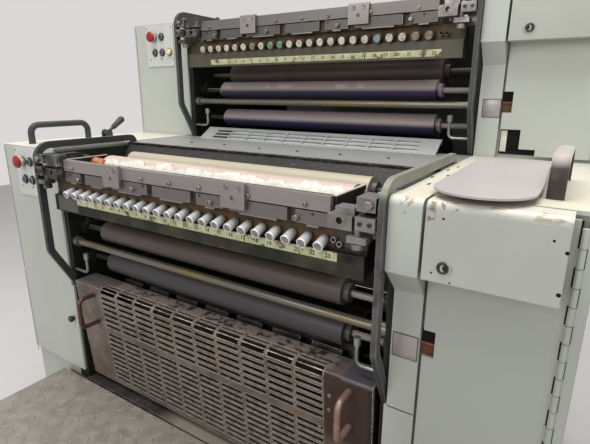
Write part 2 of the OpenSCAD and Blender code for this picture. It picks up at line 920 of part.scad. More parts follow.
// A roller with its shoulders and journals at a place in its unit
module roller(i, at, r, reach) {
  shoulder = 12;
  at_unit(i) translate([0, at[0], at[1]]) {
    bar_x(-roller_half, roller_half, r);
    bar_x(-roller_half - shoulder, roller_half + shoulder, min(r - 5, journal_r + 11));
    bar_x(-reach, reach, journal_r);
  }
}

module near_fountain_roller() {
  color([0.85, 0.73, 0.68]) roller(0, fountain_at, fountain_r, frame_in - 2);
}

module far_fountain_roller() {
  color([0.85, 0.73, 0.68]) roller(1, fountain_at, fountain_r, frame_in - 2);
}

module near_transfer_roller() {
  color([0.83, 0.78, 0.66]) roller(0, transfer_at, transfer_r, frame_out - 4);
}

module far_transfer_roller() {
  color([0.83, 0.78, 0.66]) roller(1, transfer_at, transfer_r, frame_out - 4);
}

module near_back_roller() {
  color(roller_brown) roller(0, back_at, back_r, frame_out - 4);
}

module far_back_roller() {
  color(roller_brown) roller(1, back_at, back_r, frame_out - 4);
}

module near_upper_roller() {
  color(roller_brown) roller(0, upper_at, upper_r, frame_out - 4);
}

module far_upper_roller() {
  color(roller_brown) roller(1, upper_at, upper_r, frame_out - 4);
}

module near_lower_roller() {
  color(roller_brown) roller(0, lower_at, lower_r, frame_out - 4);
}

module far_lower_roller() {
  color(roller_brown) roller(1, lower_at, lower_r, frame_out - 4);
}

// The plate cylinder with its lengthwise gap and the plate clamps in it
module plate_cylinder(i) {
  gap = 46;
  deep = 34;
  n = 7;
  pitch = 2 * roller_half / n;
  clamp = pitch * 0.7;
  gap_turn = 62;
  at_unit(i) translate([0, cylinder_at[0], cylinder_at[1]]) rotate([gap_turn, 0, 0]) {
    difference() {
      bar_x(-roller_half, roller_half, cylinder_r);
      block([-roller_half - through, -gap / 2, cylinder_r - deep],
            [roller_half + through, gap / 2, cylinder_r + through]);
    }
    bar_x(-frame_out + 4, frame_out - 4, journal_r);
    for (k = [0 : n - 1])
      translate([(k - (n - 1) / 2) * pitch, 0, 0])
        block([-clamp / 2, -gap / 2 + 4, cylinder_r - deep], [clamp / 2, 8, cylinder_r - 4]);
  }
}

module near_plate_cylinder() {
  color(bright_steel) plate_cylinder(0);
}

module far_plate_cylinder() {
  color(bright_steel) plate_cylinder(1);
}

// A hand lever with its grip, on a pin between the ears of its bracket
lever_at = [334, 16];
lever_x = 102 - half_w;
ear_t = 5;
lever_t = 14;

module at_lever(i) {
  at_unit(i) translate([lever_x, lever_at[0], top_h + lever_at[1]]) children();
}

module lever_brackets() {
  ear = 12;
  inner = lever_t / 2 + 1;
  base_w = inner + ear_t;
  color(dark_iron) for (i = [0, 1]) at_lever(i) difference() {
    union() {
      for (s = [-1, 1])
        translate([s * (inner + ear_t / 2) - ear_t / 2, 0, 0]) {
          rotate([0, 90, 0]) cylinder(r = ear, h = ear_t);
          block([0, -ear, -lever_at[1]], [ear_t, ear, 0]);
        }
      block([-base_w, -ear - 8, -lever_at[1]], [base_w, ear + 8, -lever_at[1] + 3]);
    }
    bar_x(-base_w - through, base_w + through, 4 + bore_gap);
  }
}

module lever(i) {
  reach = lever_t / 2 + ear_t + 2;
  at_lever(i) {
    bar_x(-reach, reach, 4);
    bar_x(-lever_t / 2, lever_t / 2, 9);
    rotate([-55, 0, 0]) {
      cylinder(r = 5, h = 36);
      translate([0, 0, 30]) cylinder(r1 = 8, r2 = 11, h = 42);
      translate([0, 0, 72]) sphere(r = 11);
    }
  }
}

module near_lever() {
  color(dark_iron) lever(0);
}

module far_lever() {
  color(dark_iron) lever(1);
}

base_plinth();
sill_plate();
footboard();
side_frames();
near_left_cabinet();
far_left_cabinet();
near_right_cabinet();
far_right_cabinet();
right_columns();
hinge_strips();
control_panels();
handrails();
left_grab_handle();
lever_brackets();
fan_tray();
arch_handle();
top_covers();
far_step_grille();
rear_cover();
tie_rods();
ink_ducts();
duct_bars();
ink_keys();
duct_mounts();
roller_sockets();
roller_catches();
near_fountain_roller();
far_fountain_roller();
near_transfer_roller();
far_transfer_roller();
near_back_roller();
far_back_roller();
near_upper_roller();
far_upper_roller();
near_lower_roller();
far_lower_roller();
near_plate_cylinder();
far_plate_cylinder();
near_guard();
near_guard_handles();
near_right_door();
near_door_box();
far_right_door();
far_door_box();
near_lever();
far_lever();
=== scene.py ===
"""Looks of a two-colour offset printing press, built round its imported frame."""
import math
import random

import bmesh
import bpy
from mathutils import Matrix, Vector, noise


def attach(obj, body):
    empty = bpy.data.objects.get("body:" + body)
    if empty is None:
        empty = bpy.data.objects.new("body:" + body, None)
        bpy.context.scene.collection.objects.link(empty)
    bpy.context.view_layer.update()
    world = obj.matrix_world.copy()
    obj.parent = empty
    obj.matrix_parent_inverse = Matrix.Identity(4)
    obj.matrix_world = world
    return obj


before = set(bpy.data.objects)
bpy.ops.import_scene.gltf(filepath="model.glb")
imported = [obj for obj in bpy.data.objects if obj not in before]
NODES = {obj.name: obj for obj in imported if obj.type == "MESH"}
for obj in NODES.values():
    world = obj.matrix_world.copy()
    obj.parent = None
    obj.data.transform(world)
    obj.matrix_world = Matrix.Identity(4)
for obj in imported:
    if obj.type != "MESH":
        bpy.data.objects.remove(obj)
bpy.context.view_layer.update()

# Sizes shared with the frame, in metres
MM = 0.001
KEY_Y = -0.379
KEY_Z = 0.990
UNIT_PITCH = 0.506
UNIT_RISE = 0.375
KEY_PITCH = 0.0325

# Angles and counts shared with the frame
KEY_COUNT = 23
KEY_SLOPE = math.radians(18)
GUARD_LEAN = math.radians(4.7)
UNITS = (0, 1)
UNIT_WORDS = ("near", "far")

# Faces shared with the frame, in millimetres of a unit
COVER_FACE = 52
TOP_FACE = 99
PANEL_FACE = 49
GUARD_EDGE = (48, -265)


def at(unit, x, y, z):
    """A point from millimetres measured in one unit, from the middle of its key row."""
    return Vector((x * MM, KEY_Y + unit * UNIT_PITCH + y * MM, KEY_Z + unit * UNIT_RISE + z * MM))


def srgb(red, green, blue):
    """A linear colour from the 0 to 255 values of a colour picker."""
    def linear(v):
        v = v / 255
        return v / 12.92 if v <= 0.04045 else ((v + 0.055) / 1.055) ** 2.4
    return (linear(red), linear(green), linear(blue), 1.0)


def put_in_scene(name, data):
    """A new object that holds the data, linked to the scene."""
    made = bpy.data.objects.new(name, data)
    bpy.context.scene.collection.objects.link(made)
    return made


# Node trees: short calls for laying and wiring nodes
class Bench:
    """Lays and wires the nodes of one tree."""

    def __init__(self, tree):
        self.tree = tree

    def plug(self, socket, value):
        """Wires a socket to another one, or gives it a fixed value."""
        if isinstance(value, bpy.types.NodeSocket):
            self.tree.links.new(value, socket)
        else:
            socket.default_value = value

    def put(self, kind, settings=None, **inputs):
        """A new node with its settings and inputs; an underscore stands for a space."""
        node = self.tree.nodes.new(kind)
        for name, value in (settings or {}).items():
            setattr(node, name, value)
        for name, value in inputs.items():
            self.plug(node.inputs[name.replace("_", " ")], value)
        return node

    def use(self, group, **inputs):
        """The first output of a node group."""
        return self.put("ShaderNodeGroup", {"node_tree": group}, **inputs).outputs[0]

    def math(self, operation, a, b=0.0, clamp=False):
        node = self.put("ShaderNodeMath", {"operation": operation, "use_clamp": clamp})
        self.plug(node.inputs[0], a)
        self.plug(node.inputs[1], b)
        return node.outputs[0]

    def vector_math(self, operation, *values):
        node = self.put("ShaderNodeVectorMath", {"operation": operation})
        for socket, value in zip(node.inputs, values):
            self.plug(socket, value)
        return node

    def mix(self, mask, under, over):
        node = self.put("ShaderNodeMix", {"data_type": "RGBA"})
        self.plug(node.inputs[0], mask)
        self.plug(node.inputs[6], under)
        self.plug(node.inputs[7], over)
        return node.outputs[2]

    def span(self, value, low, high, to_low=0.0, to_high=1.0):
        """The value moved from one span to another, and held at its ends."""
        node = self.put("ShaderNodeMapRange", {"clamp": True})
        for name, number in (("Value", value), ("From Min", low), ("From Max", high),
                             ("To Min", to_low), ("To Max", to_high)):
            self.plug(node.inputs[name], number)
        return node.outputs[0]

    def place(self):
        return self.put("ShaderNodeTexCoord").outputs["Object"]


def node_group(name, kind, inputs, outputs):
    """An empty node group with its sockets, and its two end nodes."""
    tree = bpy.data.node_groups.new(name, kind)
    for label, socket, start in inputs:
        made = tree.interface.new_socket(label, in_out="INPUT", socket_type=socket)
        if start is not None:
            made.default_value = start
    for label, socket in outputs:
        tree.interface.new_socket(label, in_out="OUTPUT", socket_type=socket)
    return tree, tree.nodes.new("NodeGroupInput"), tree.nodes.new("NodeGroupOutput")


def make_patch_mask():
    """Cloudy patches: 0 to 1 where the noise lies between Low and High."""
    tree, given, out = node_group("patch_mask", "ShaderNodeTree", [
        ("Scale", "NodeSocketFloat", 8.0), ("Stretch", "NodeSocketVector", (1, 1, 1)),
        ("Low", "NodeSocketFloat", 0.4), ("High", "NodeSocketFloat", 0.6),
        ("Detail", "NodeSocketFloat", 4.0)],
        [("Mask", "NodeSocketFloat")])
    b = Bench(tree)
    scaled = b.put("ShaderNodeMapping", Vector=b.place(), Scale=given.outputs["Stretch"])
    cloud = b.put("ShaderNodeTexNoise", Vector=scaled.outputs[0], Scale=given.outputs["Scale"],
                  Detail=given.outputs["Detail"], Roughness=0.6)
    b.plug(out.inputs[0], b.span(cloud.outputs[0], given.outputs["Low"], given.outputs["High"]))
    return tree


def break_up(b, given, out, mask, low, high, detail, roughness):
    """Breaks a mask up with noise, scales it by Amount and puts it out."""
    cloud = b.put("ShaderNodeTexNoise", Vector=b.place(), Scale=given.outputs["Break Scale"],
                  Detail=detail, Roughness=roughness)
    broken = b.span(cloud.outputs[0], low, high)
    b.plug(out.inputs[0], b.math("MULTIPLY", b.math("MULTIPLY", mask, broken),
                                 given.outputs["Amount"], clamp=True))


def make_edge_mask():
    """Worn edges: where the rounded normal leaves the true one, broken up by noise."""
    tree, given, out = node_group("edge_wear", "ShaderNodeTree", [
        ("Width", "NodeSocketFloat", 0.003), ("Amount", "NodeSocketFloat", 1.0),
        ("Break Scale", "NodeSocketFloat", 60.0)], [("Mask", "NodeSocketFloat")])
    b = Bench(tree)
    bevel = b.put("ShaderNodeBevel", {"samples": 4}, Radius=given.outputs["Width"])
    true = b.put("ShaderNodeNewGeometry")
    dot = b.vector_math("DOT_PRODUCT", bevel.outputs[0], true.outputs["Normal"])
    edge = b.span(dot.outputs["Value"], 0.985, 0.86)
    break_up(b, given, out, edge, 0.36, 0.60, detail=5.0, roughness=0.65)
    return tree


def make_grime_and_shade_mask():
    """Darkening in corners and under ledges, found by ambient occlusion: soiling and painted shade
    together.
    """
    tree, given, out = node_group("corner_grime_and_shade", "ShaderNodeTree", [
        ("Reach", "NodeSocketFloat", 0.04), ("Amount", "NodeSocketFloat", 1.0),
        ("Break Scale", "NodeSocketFloat", 25.0)], [("Mask", "NodeSocketFloat")])
    b = Bench(tree)
    shade = b.put("ShaderNodeAmbientOcclusion", {"samples": 6}, Distance=given.outputs["Reach"])
    closed = b.span(shade.outputs["AO"], 0.75, 0.25)
    break_up(b, given, out, closed, 0.30, 0.62, detail=6.0, roughness=0.7)
    return tree


def make_zone_mask():
    """A soft-edged box on the object, for a stain or a change of coat in one place."""
    tree, given, out = node_group("zone_mask", "ShaderNodeTree", [
        ("Middle", "NodeSocketVector", (0, 0, 0)), ("Half Size", "NodeSocketVector", (1, 1, 1)),
        ("Softness", "NodeSocketFloat", 0.01)], [("Mask", "NodeSocketFloat")])
    b = Bench(tree)
    off = b.vector_math("SUBTRACT", b.place(), given.outputs["Middle"])
    size = b.vector_math("ABSOLUTE", off.outputs[0])
    past = b.vector_math("SUBTRACT", size.outputs[0], given.outputs["Half Size"])
    axes = b.put("ShaderNodeSeparateXYZ", Vector=past.outputs[0])
    most = b.math("MAXIMUM", b.math("MAXIMUM", axes.outputs[0], axes.outputs[1]), axes.outputs[2])
    b.plug(out.inputs[0], b.span(most, given.outputs["Softness"], 0.0))
    return tree


def make_up_mask():
    """1 on faces that look up, 0 on walls: where the light from above is painted."""
    tree, _, out = node_group("up_faces", "ShaderNodeTree", [], [("Mask", "NodeSocketFloat")])
    b = Bench(tree)
    axes = b.put("ShaderNodeSeparateXYZ", Vector=b.put("ShaderNodeNewGeometry").outputs["Normal"])
    b.plug(out.inputs[0], b.span(axes.outputs[2], 0.5, 0.95))
    return tree


def make_grain():
    """Fine height of a coat: orange peel, scratches and pits."""
    tree, given, out = node_group("coat_grain", "ShaderNodeTree", [
        ("Scale", "NodeSocketFloat", 300.0), ("Stretch", "NodeSocketVector", (1, 1, 1)),
        ("Pits", "NodeSocketFloat", 0.3)], [("Height", "NodeSocketFloat")])
    b = Bench(tree)
    scaled = b.put("ShaderNodeMapping", Vector=b.place(), Scale=given.outputs["Stretch"])
    fine = b.put("ShaderNodeTexNoise", Vector=scaled.outputs[0], Scale=given.outputs["Scale"],
                 Detail=3.0)
    pits = b.put("ShaderNodeTexVoronoi", Vector=scaled.outputs[0], Scale=given.outputs["Scale"])
    dents = b.math("MULTIPLY", b.span(pits.outputs["Distance"], 0.0, 0.35), given.outputs["Pits"])
    b.plug(out.inputs[0], b.math("ADD", fine.outputs[0], dents))
    return tree


PATCH = make_patch_mask()
EDGE = make_edge_mask()
GRIME_AND_SHADE = make_grime_and_shade_mask()
ZONE = make_zone_mask()
UP = make_up_mask()
GRAIN = make_grain()


def new_material(name):
    """A node material, the bench for its tree and its shader."""
    mat = bpy.data.materials.new(name)
    mat.use_nodes = True
    return mat, Bench(mat.node_tree), mat.node_tree.nodes["Principled BSDF"]


def add_grain(b, shader, grain, stretch=(1, 1, 1)):
    """Bump from the fine height of a coat; grain is its scale, strength and depth."""
    scale, strength, depth = grain
    height = b.use(GRAIN, Scale=scale, Stretch=stretch)
    bump = b.put("ShaderNodeBump", Strength=strength, Distance=depth, Height=height)
    b.plug(shader.inputs["Normal"], bump.outputs[0])


def finish_of(name, first, second, patch, grime_and_shade, rough, grain, wear=None, top=None, metal=0.0,
              wear_metal=0.0, stretch=(1, 1, 1), shine=0.45, extras=()):
    """A coat in two tones, with corners darkened by soiling and painted shade, worn edges, a tone
    for faces that look up, and stains.

    Tones are 0 to 255. Patch is scale, low and high; grime_and_shade is the tone, reach and amount
    of the darkening in corners, which paints shade and soiling together; wear is tone, width and
    amount; top is tone and amount for faces that look up, which paints the light from above; rough
    is that of the two tones; grain is scale, strength and depth."""
    mat, b, shader = new_material(name)
    scale, low, high = patch
    patches = b.use(PATCH, Scale=scale, Low=low, High=high, Stretch=stretch)
    colour = b.mix(patches, srgb(*first), srgb(*second))
    # Faces that look up take a tone that paints the light from above on them
    if top:
        tone, amount = top
        colour = b.mix(b.math("MULTIPLY", b.use(UP), amount), colour, srgb(*tone))
    for middle, half, soft, tone, scale, low, high, draw in extras:
        zone = b.use(ZONE, Middle=middle, Half_Size=half, Softness=soft)
        spots = b.use(PATCH, Scale=scale, Low=low, High=high, Stretch=draw, Detail=5.0)
        colour = b.mix(b.math("MULTIPLY", zone, spots), colour, srgb(*tone))
    tone, reach, amount = grime_and_shade
    # Darkening in corners by ambient occlusion: soiling and painted shade together
    grime_and_shade_mask = b.use(GRIME_AND_SHADE, Reach=reach, Amount=amount)
    colour = b.mix(grime_and_shade_mask, colour, srgb(*tone))
    clean = b.span(patches, 0.0, 1.0, *rough)
    roughness = b.span(grime_and_shade_mask, 0.0, 1.0, clean, 0.75)
    metallic = metal
    if wear:
        tone, width, amount = wear
        edge = b.use(EDGE, Width=width, Amount=amount)
        colour = b.mix(edge, colour, srgb(*tone))
        if wear_metal != metal:
            metallic = b.span(edge, 0.0, 1.0, metal, wear_metal)
    b.plug(shader.inputs["Base Color"], colour)
    b.plug(shader.inputs["Roughness"], roughness)
    b.plug(shader.inputs["Metallic"], metallic)
    shader.inputs["Specular IOR Level"].default_value = shine
    add_grain(b, shader, grain, stretch)
    return mat


def stain(unit, middle, half, tone, scale=60.0, low=0.5, high=0.6, soft=0.004, draw=(1, 1, 1)):
    """One stained place, in millimetres of a unit; soft is the width of its edge in metres."""
    return (at(unit, *middle), Vector(half) * MM, soft, tone, scale, low, high, draw)


def coat(unit, middle, half, tone, soft=0.004):
    """A place where the whole coat has another tone, because its limits let no patch out."""
    return stain(unit, middle, half, tone, 6.0, -2.0, -1.0, soft)


# Tones that several finishes share
# Yellowed paint on faces that look up, with the light from above painted in
YELLOWED_AND_LIT_TOP = (205, 200, 186)
CHIP_BROWN = (104, 90, 82)
JOURNAL = (150, 145, 138)
ROLLER_END = (58, 53, 50)
SHAFT_REACH = 470


def shaft_ends(y, z, start, tone):
    """The shafts of a roller beyond a place, greasy on the left of each unit."""
    half = (SHAFT_REACH - start) / 2
    return [coat(unit, (side * (start + half), y, z), (half, 50, 50),
                 (ROLLER_END, tone)[side > 0], 0.001) for unit in UNITS for side in (-1, 1)]


PAINT = finish_of(
    "cabinet_paint", (185, 189, 180), (177, 181, 172), patch=(3.0, 0.35, 0.7),
    grime_and_shade=((120, 116, 100), 0.02, 0.55), wear=(CHIP_BROWN, 0.002, 0.35),
    top=(YELLOWED_AND_LIT_TOP, 0.85), rough=(0.38, 0.5), grain=(500.0, 0.12, 0.0003),
    extras=[
        stain(0, (500, 8, 88), (7, 8, 10), (150, 128, 100), 140, 0.52, 0.58),
        stain(0, (600, 30, 20), (120, 70, 100), (84, 72, 60), 170, 0.70, 0.73),
        stain(0, (500, 30, -60), (30, 70, 130), (84, 72, 60), 170, 0.69, 0.72),
        stain(0, (600, 200, 99), (140, 200, 4), (204, 197, 172), 14, 0.42, 0.62),
        # Painted shade: the door below its box is darker, as the light from above falls off there
        coat(0, (632, 55, -360), (108, 14, 300), (162, 166, 157), 0.12),
        # Painted shade on the inner side of the left cabinet's lip
        coat(0, (-466, 200, 82), (9, 300, 14.5), (72, 72, 67), 0.001),
    ])
PLINTH = finish_of(
    "plinth_paint", (180, 185, 172), (172, 177, 164), patch=(3.0, 0.35, 0.7),
    grime_and_shade=((110, 106, 92), 0.03, 0.7), wear=(CHIP_BROWN, 0.002, 0.4), rough=(0.4, 0.52),
    grain=(500.0, 0.12, 0.0003),
    # Painted shade: the inside of the plinth, seen through the guard's slots, is near black
    extras=[coat(0, (0, 600, -600), (466, 560, 500), (30, 27, 25), 0.001)])
BOX_PAINT = finish_of(
    "box_paint", (175, 177, 168), (167, 169, 160), patch=(4.0, 0.35, 0.7),
    grime_and_shade=((120, 116, 100), 0.015, 0.4), wear=(CHIP_BROWN, 0.0025, 0.5),
    top=(YELLOWED_AND_LIT_TOP, 0.85), rough=(0.4, 0.52), grain=(500.0, 0.12, 0.0003),
    extras=[
        stain(0, (552, 6, 93), (20, 9, 6), (128, 104, 92), 90, 0.53, 0.56),
        stain(0, (537, 6, 82), (3, 6, 10), (128, 104, 92), 80, 0.5, 0.54),
        stain(0, (650, 8, 96), (80, 12, 4), (150, 136, 120), 50, 0.56, 0.6, draw=(0.5, 1, 1)),
        stain(0, (620, 0, 40), (90, 8, 60), (84, 72, 60), 170, 0.71, 0.74),
    ])
IRON_GREEN = finish_of(
    "frame_iron", (34, 38, 31), (25, 27, 23), patch=(9.0, 0.4, 0.6),
    grime_and_shade=((16, 14, 12), 0.05, 0.8), wear=((120, 116, 104), 0.0025, 0.5),
    rough=(0.32, 0.6), shine=0.2, grain=(200.0, 0.3, 0.0006),
    extras=[
        coat(0, (0, 20, 26), (434, 16, 26), (84, 78, 64), 0.003),
        coat(1, (0, 20, -20), (440, 30, 56), (86, 82, 70), 0.003),
        coat(1, (0, 20, 26), (434, 16, 26), (94, 84, 66), 0.003),
        coat(0, (410, 16, -25), (30, 4, 28), (22, 25, 22), 0.003),
        coat(0, (-380, 16, -25), (40, 3, 22), (92, 91, 85), 0.001),
        coat(0, (-375, 85, 85), (4, 62, 2), (188, 180, 170), 0.001),
        coat(0, (375, 85, 85), (4, 62, 2), (188, 180, 168), 0.001),
        stain(0, (0, 20, 16), (372, 24, 20), (112, 72, 42), 60, 0.44, 0.56),
        stain(1, (0, 20, 16), (372, 24, 20), (104, 76, 54), 60, 0.44, 0.56),
        stain(0, (0, 16, -30), (434, 3, 22), (66, 64, 50), 9, 0.46, 0.62),
    ])
GUARD_PAINT = finish_of(
    "guard_paint", (127, 115, 107), (97, 88, 81), patch=(12.0, 0.38, 0.62),
    grime_and_shade=((29, 23, 19), 0.02, 0.6), wear=((231, 219, 206), 0.0035, 1.0),
    top=((111, 104, 99), 0.7), rough=(0.4, 0.62), metal=0.2, wear_metal=0.6,
    shine=0.2, grain=(240.0, 0.25, 0.0005),
    extras=[coat(0, (400, 20, -436), (51, 40, 168), (70, 55, 49), 0.002),
            # Painted shadow of the handrail, with some dirt, on the right end of the guard
            coat(0, (446, 100, -420), (6, 120, 168), (52, 50, 50), 0.002),
            coat(0, (420, 100, -266), (32, 60, 4), (95, 90, 95), 0.004),
            coat(0, (20, 104, -266), (330, 34, 4), (156, 142, 131), 0.012),
            stain(0, (60, 96, -266), (330, 22, 4), (75, 66, 61), 60, 0.5, 0.56, 0.004),
            stain(0, (-20, 20, -366), (340, 30, 14), (118, 111, 95), 30, 0.42, 0.6, 0.002),
            stain(0, (60, 30, -340), (280, 30, 60), (133, 95, 66), 34, 0.58, 0.68)])
STEP_PLATE = finish_of(
    "step_plate", (186, 188, 186), (162, 164, 162), patch=(14.0, 0.4, 0.65),
    grime_and_shade=((40, 38, 36), 0.02, 0.6), wear=((206, 206, 202), 0.002, 0.8),
    rough=(0.35, 0.5), metal=0.5, wear_metal=0.8, grain=(260.0, 0.2, 0.0004))
TREAD = finish_of(
    "tread_steel", (127, 121, 112), (147, 140, 130), patch=(26.0, 0.38, 0.64),
    grime_and_shade=((60, 56, 52), 0.010, 0.7), wear=((176, 170, 160), 0.003, 0.6),
    rough=(0.5, 0.68), metal=0.12, wear_metal=0.4, grain=(180.0, 0.35, 0.0008),
    extras=[coat(0, (84, -172, -640), (700, 240, 46), (66, 63, 60), 0.004)])
SILL = finish_of(
    "sill_strip", (57, 54, 52), (65, 63, 59), patch=(22.0, 0.45, 0.6),
    grime_and_shade=((36, 33, 30), 0.03, 0.8), wear=((178, 172, 160), 0.003, 0.6),
    rough=(0.45, 0.65), metal=0.2, shine=0.2, grain=(160.0, 0.3, 0.0006),
    extras=[coat(0, (180, 80, -588), (260, 40, 8), (146, 136, 124), 0.08),
            stain(0, (-226, 72, -588), (60, 14, 8), (196, 190, 182), 240, 0.62, 0.66)])
BAR_STEEL = finish_of(
    "bar_steel", (151, 145, 141), (133, 127, 123), patch=(10.0, 0.4, 0.65),
    grime_and_shade=((54, 45, 38), 0.012, 0.8), wear=((221, 217, 212), 0.0012, 0.8),
    rough=(0.34, 0.5), metal=0.55, wear_metal=0.8, grain=(900.0, 0.12, 0.0002),
    stretch=(0.15, 1, 1),
    extras=[coat(1, (0, 19, 70), (380, 14, 15), (118, 115, 113), 0.001),
            # Painted shade under the bars: the segments below them are darker
            coat(1, (0, 19, 42), (380, 14, 12.4), (95, 92, 89), 0.001),
            coat(0, (0, 19, 42), (380, 14, 12.4), (113, 108, 106), 0.001)])
BLOCK_STEEL = finish_of(
    "block_steel", (142, 138, 136), (112, 108, 104), patch=(24.0, 0.4, 0.62),
    grime_and_shade=((30, 26, 24), 0.016, 1.0), wear=((206, 204, 200), 0.0012, 0.8),
    rough=(0.3, 0.5), metal=0.5, wear_metal=0.85, grain=(700.0, 0.15, 0.0002),
    extras=[stain(0, (-425, 30, 50), (50, 80, 60), (64, 60, 56), 26, 0.38, 0.5, 0.01),
            stain(1, (-425, 30, 50), (50, 80, 60), (72, 66, 62), 26, 0.4, 0.52, 0.01)])
ROD_STEEL = finish_of(
    "rod_steel", (116, 112, 103), (124, 112, 76), patch=(16.0, 0.5, 0.66),
    grime_and_shade=((44, 38, 30), 0.02, 0.7), wear=((214, 210, 200), 0.001, 0.5),
    rough=(0.22, 0.4), metal=0.5, wear_metal=0.8, grain=(500.0, 0.15, 0.0002),
    stretch=(0.4, 1, 1))
CATCH = finish_of(
    "catch_steel", (150, 150, 147), (124, 122, 118), patch=(30.0, 0.4, 0.65),
    grime_and_shade=((40, 38, 34), 0.012, 0.7), wear=((216, 214, 208), 0.001, 0.6),
    rough=(0.22, 0.4), metal=0.6, wear_metal=0.8, grain=(500.0, 0.15, 0.0002))
KNOB = finish_of(
    "knob_plastic", (186, 186, 184), (161, 161, 159), patch=(40.0, 0.45, 0.7),
    grime_and_shade=((70, 58, 46), 0.010, 0.7), wear=((240, 240, 238), 0.001, 0.6),
    rough=(0.35, 0.5), grain=(600.0, 0.12, 0.0002),
    extras=[coat(0, (0, 34, 10), (400, 10, 16), (112, 108, 102), 0.016),
            coat(1, (0, 34, 10), (400, 32, 16), (74, 64, 50), 0.004)])
PINK_INK = finish_of(
    "fountain_ink", (184, 163, 149), (190, 173, 160), patch=(14.0, 0.35, 0.65),
    grime_and_shade=((150, 120, 104), 0.02, 0.4), rough=(0.28, 0.42),
    grain=(60.0, 0.25, 0.001), stretch=(0.5, 1, 1),
    extras=shaft_ends(140, 42, 360.5, ROLLER_END))
CREAM_INK = finish_of(
    "transfer_ink", (166, 157, 137), (156, 148, 128), patch=(12.0, 0.4, 0.65),
    grime_and_shade=((120, 108, 84), 0.02, 0.5), rough=(0.35, 0.5),
    grain=(90.0, 0.2, 0.0008), stretch=(0.3, 1, 1),
    extras=shaft_ends(214, 58, 360.5, ROLLER_END))
ROLLER = finish_of(
    "roller_rubber", (92, 83, 77), (81, 74, 69), patch=(6.0, 0.4, 0.65),
    grime_and_shade=((20, 17, 18), 0.05, 0.6), rough=(0.36, 0.46),
    shine=0.3, grain=(500.0, 0.12, 0.0002), stretch=(0.2, 1, 1),
    extras=shaft_ends(116, -167, 374, JOURNAL)
    + [coat(0, (0, 122, -225), (361, 40, 26), (70, 69, 71), 0.01)])
ROLLER_BLUE = finish_of(
    "roller_rubber_blue", (158, 147, 144), (145, 134, 136), patch=(6.0, 0.4, 0.65),
    grime_and_shade=((18, 16, 26), 0.05, 0.6), rough=(0.34, 0.42),
    shine=0.3, grain=(500.0, 0.12, 0.0002), stretch=(0.2, 1, 1),
    extras=shaft_ends(116, -167, 374, JOURNAL)
    + [coat(1, (0, 110, -138), (361, 40, 12), (50, 45, 68), 0.010),
       coat(1, (0, 122, -230), (361, 40, 12), (50, 45, 68), 0.010),
       # Painted reflection: a thin bright streak of the lamps along the far rollers
       stain(1, (0, 90, -110), (345, 20, 3), (176, 164, 152), 22, 0.52, 0.62, 0.006,
             (1, 0.02, 0.02))])
CYLINDER = finish_of(
    "plate_cylinder_steel", (58, 54, 50), (38, 35, 32), patch=(9.0, 0.4, 0.65),
    grime_and_shade=((24, 20, 18), 0.05, 0.9), wear=((190, 186, 180), 0.0015, 0.8),
    rough=(0.3, 0.5), metal=0.6, wear_metal=0.8, shine=0.2, grain=(400.0, 0.2, 0.0003))
TUBE = finish_of(
    "tube_paint", (58, 60, 59), (66, 68, 66), patch=(14.0, 0.4, 0.65),
    grime_and_shade=((24, 24, 24), 0.02, 0.6), wear=((150, 148, 142), 0.003, 0.6),
    # Faces that look up get a painted highlight
    top=((84, 84, 82), 0.4), rough=(0.34, 0.5), shine=0.2, grain=(260.0, 0.2, 0.0004),
    # Worn paint and a painted highlight on the top of the near right handrail
    extras=[coat(0, (467, 200, 113), (7, 210, 12), (130, 130, 118), 0.01),
            coat(1, (0, 140, 40), (500, 200, 320), (70, 73, 71), 0.01),
            stain(0, (467, 2, -20), (7, 14, 110), (88, 86, 84), 24, 0.36, 0.56, 0.02),
            stain(0, (467, -6, -80), (6, 4, 90), (92, 84, 92), 45, 0.54, 0.62, 0.01)])
COPPER = finish_of(
    "copper_tube", (164, 136, 124), (128, 100, 88), patch=(30.0, 0.4, 0.65),
    grime_and_shade=((50, 34, 26), 0.015, 0.6), wear=((214, 192, 178), 0.002, 0.5),
    rough=(0.3, 0.45), metal=0.4, wear_metal=0.5, grain=(400.0, 0.2, 0.0003),
    extras=[coat(0, (-372, 20, -330), (20, 50, 60), (88, 62, 54), 0.002)])
WALL = finish_of(
    "cover_sheet", (148, 148, 145), (138, 138, 134), patch=(10.0, 0.4, 0.65),
    grime_and_shade=((70, 66, 62), 0.02, 0.5), wear=((214, 212, 206), 0.002, 0.5),
    rough=(0.35, 0.5), metal=0.25, wear_metal=0.6, shine=0.2, grain=(300.0, 0.2, 0.0004),
    extras=[coat(0, (0, 260, 60), (470, 30, 40), (58, 57, 56), 0.002),
            stain(0, (0, 260, 60), (470, 30, 40), (96, 94, 90), 220, 0.6, 0.66, 0.002),
            coat(1, (0, 260, 60), (470, 30, 40), (52, 51, 50), 0.002),
            stain(0, (0, 286, 99), (470, 7, 6), (22, 20, 20), 70, 0.36, 0.5, 0.002)])
TRAY = finish_of(
    "tray_sheet", (177, 170, 167), (170, 163, 161), patch=(8.0, 0.4, 0.65),
    grime_and_shade=((103, 95, 86), 0.01, 0.4), wear=((194, 191, 186), 0.0012, 0.6),
    rough=(0.4, 0.5), metal=0.15, grain=(500.0, 0.1, 0.0002))
ARCH = finish_of(
    "arch_paint", (58, 54, 51), (67, 62, 60), patch=(12.0, 0.4, 0.65),
    grime_and_shade=((50, 46, 42), 0.02, 0.4), wear=((190, 182, 174), 0.002, 0.6),
    # Painted highlight on the rounded top of the arch handle
    top=((188, 176, 169), 0.9), rough=(0.3, 0.42), shine=0.2, grain=(260.0, 0.12, 0.0003))
PANEL = finish_of(
    "panel_plate", (204, 206, 200), (196, 198, 192), patch=(12.0, 0.4, 0.65),
    grime_and_shade=((110, 106, 96), 0.008, 0.6), wear=((150, 146, 140), 0.001, 0.3),
    rough=(0.35, 0.45), grain=(500.0, 0.1, 0.0002))
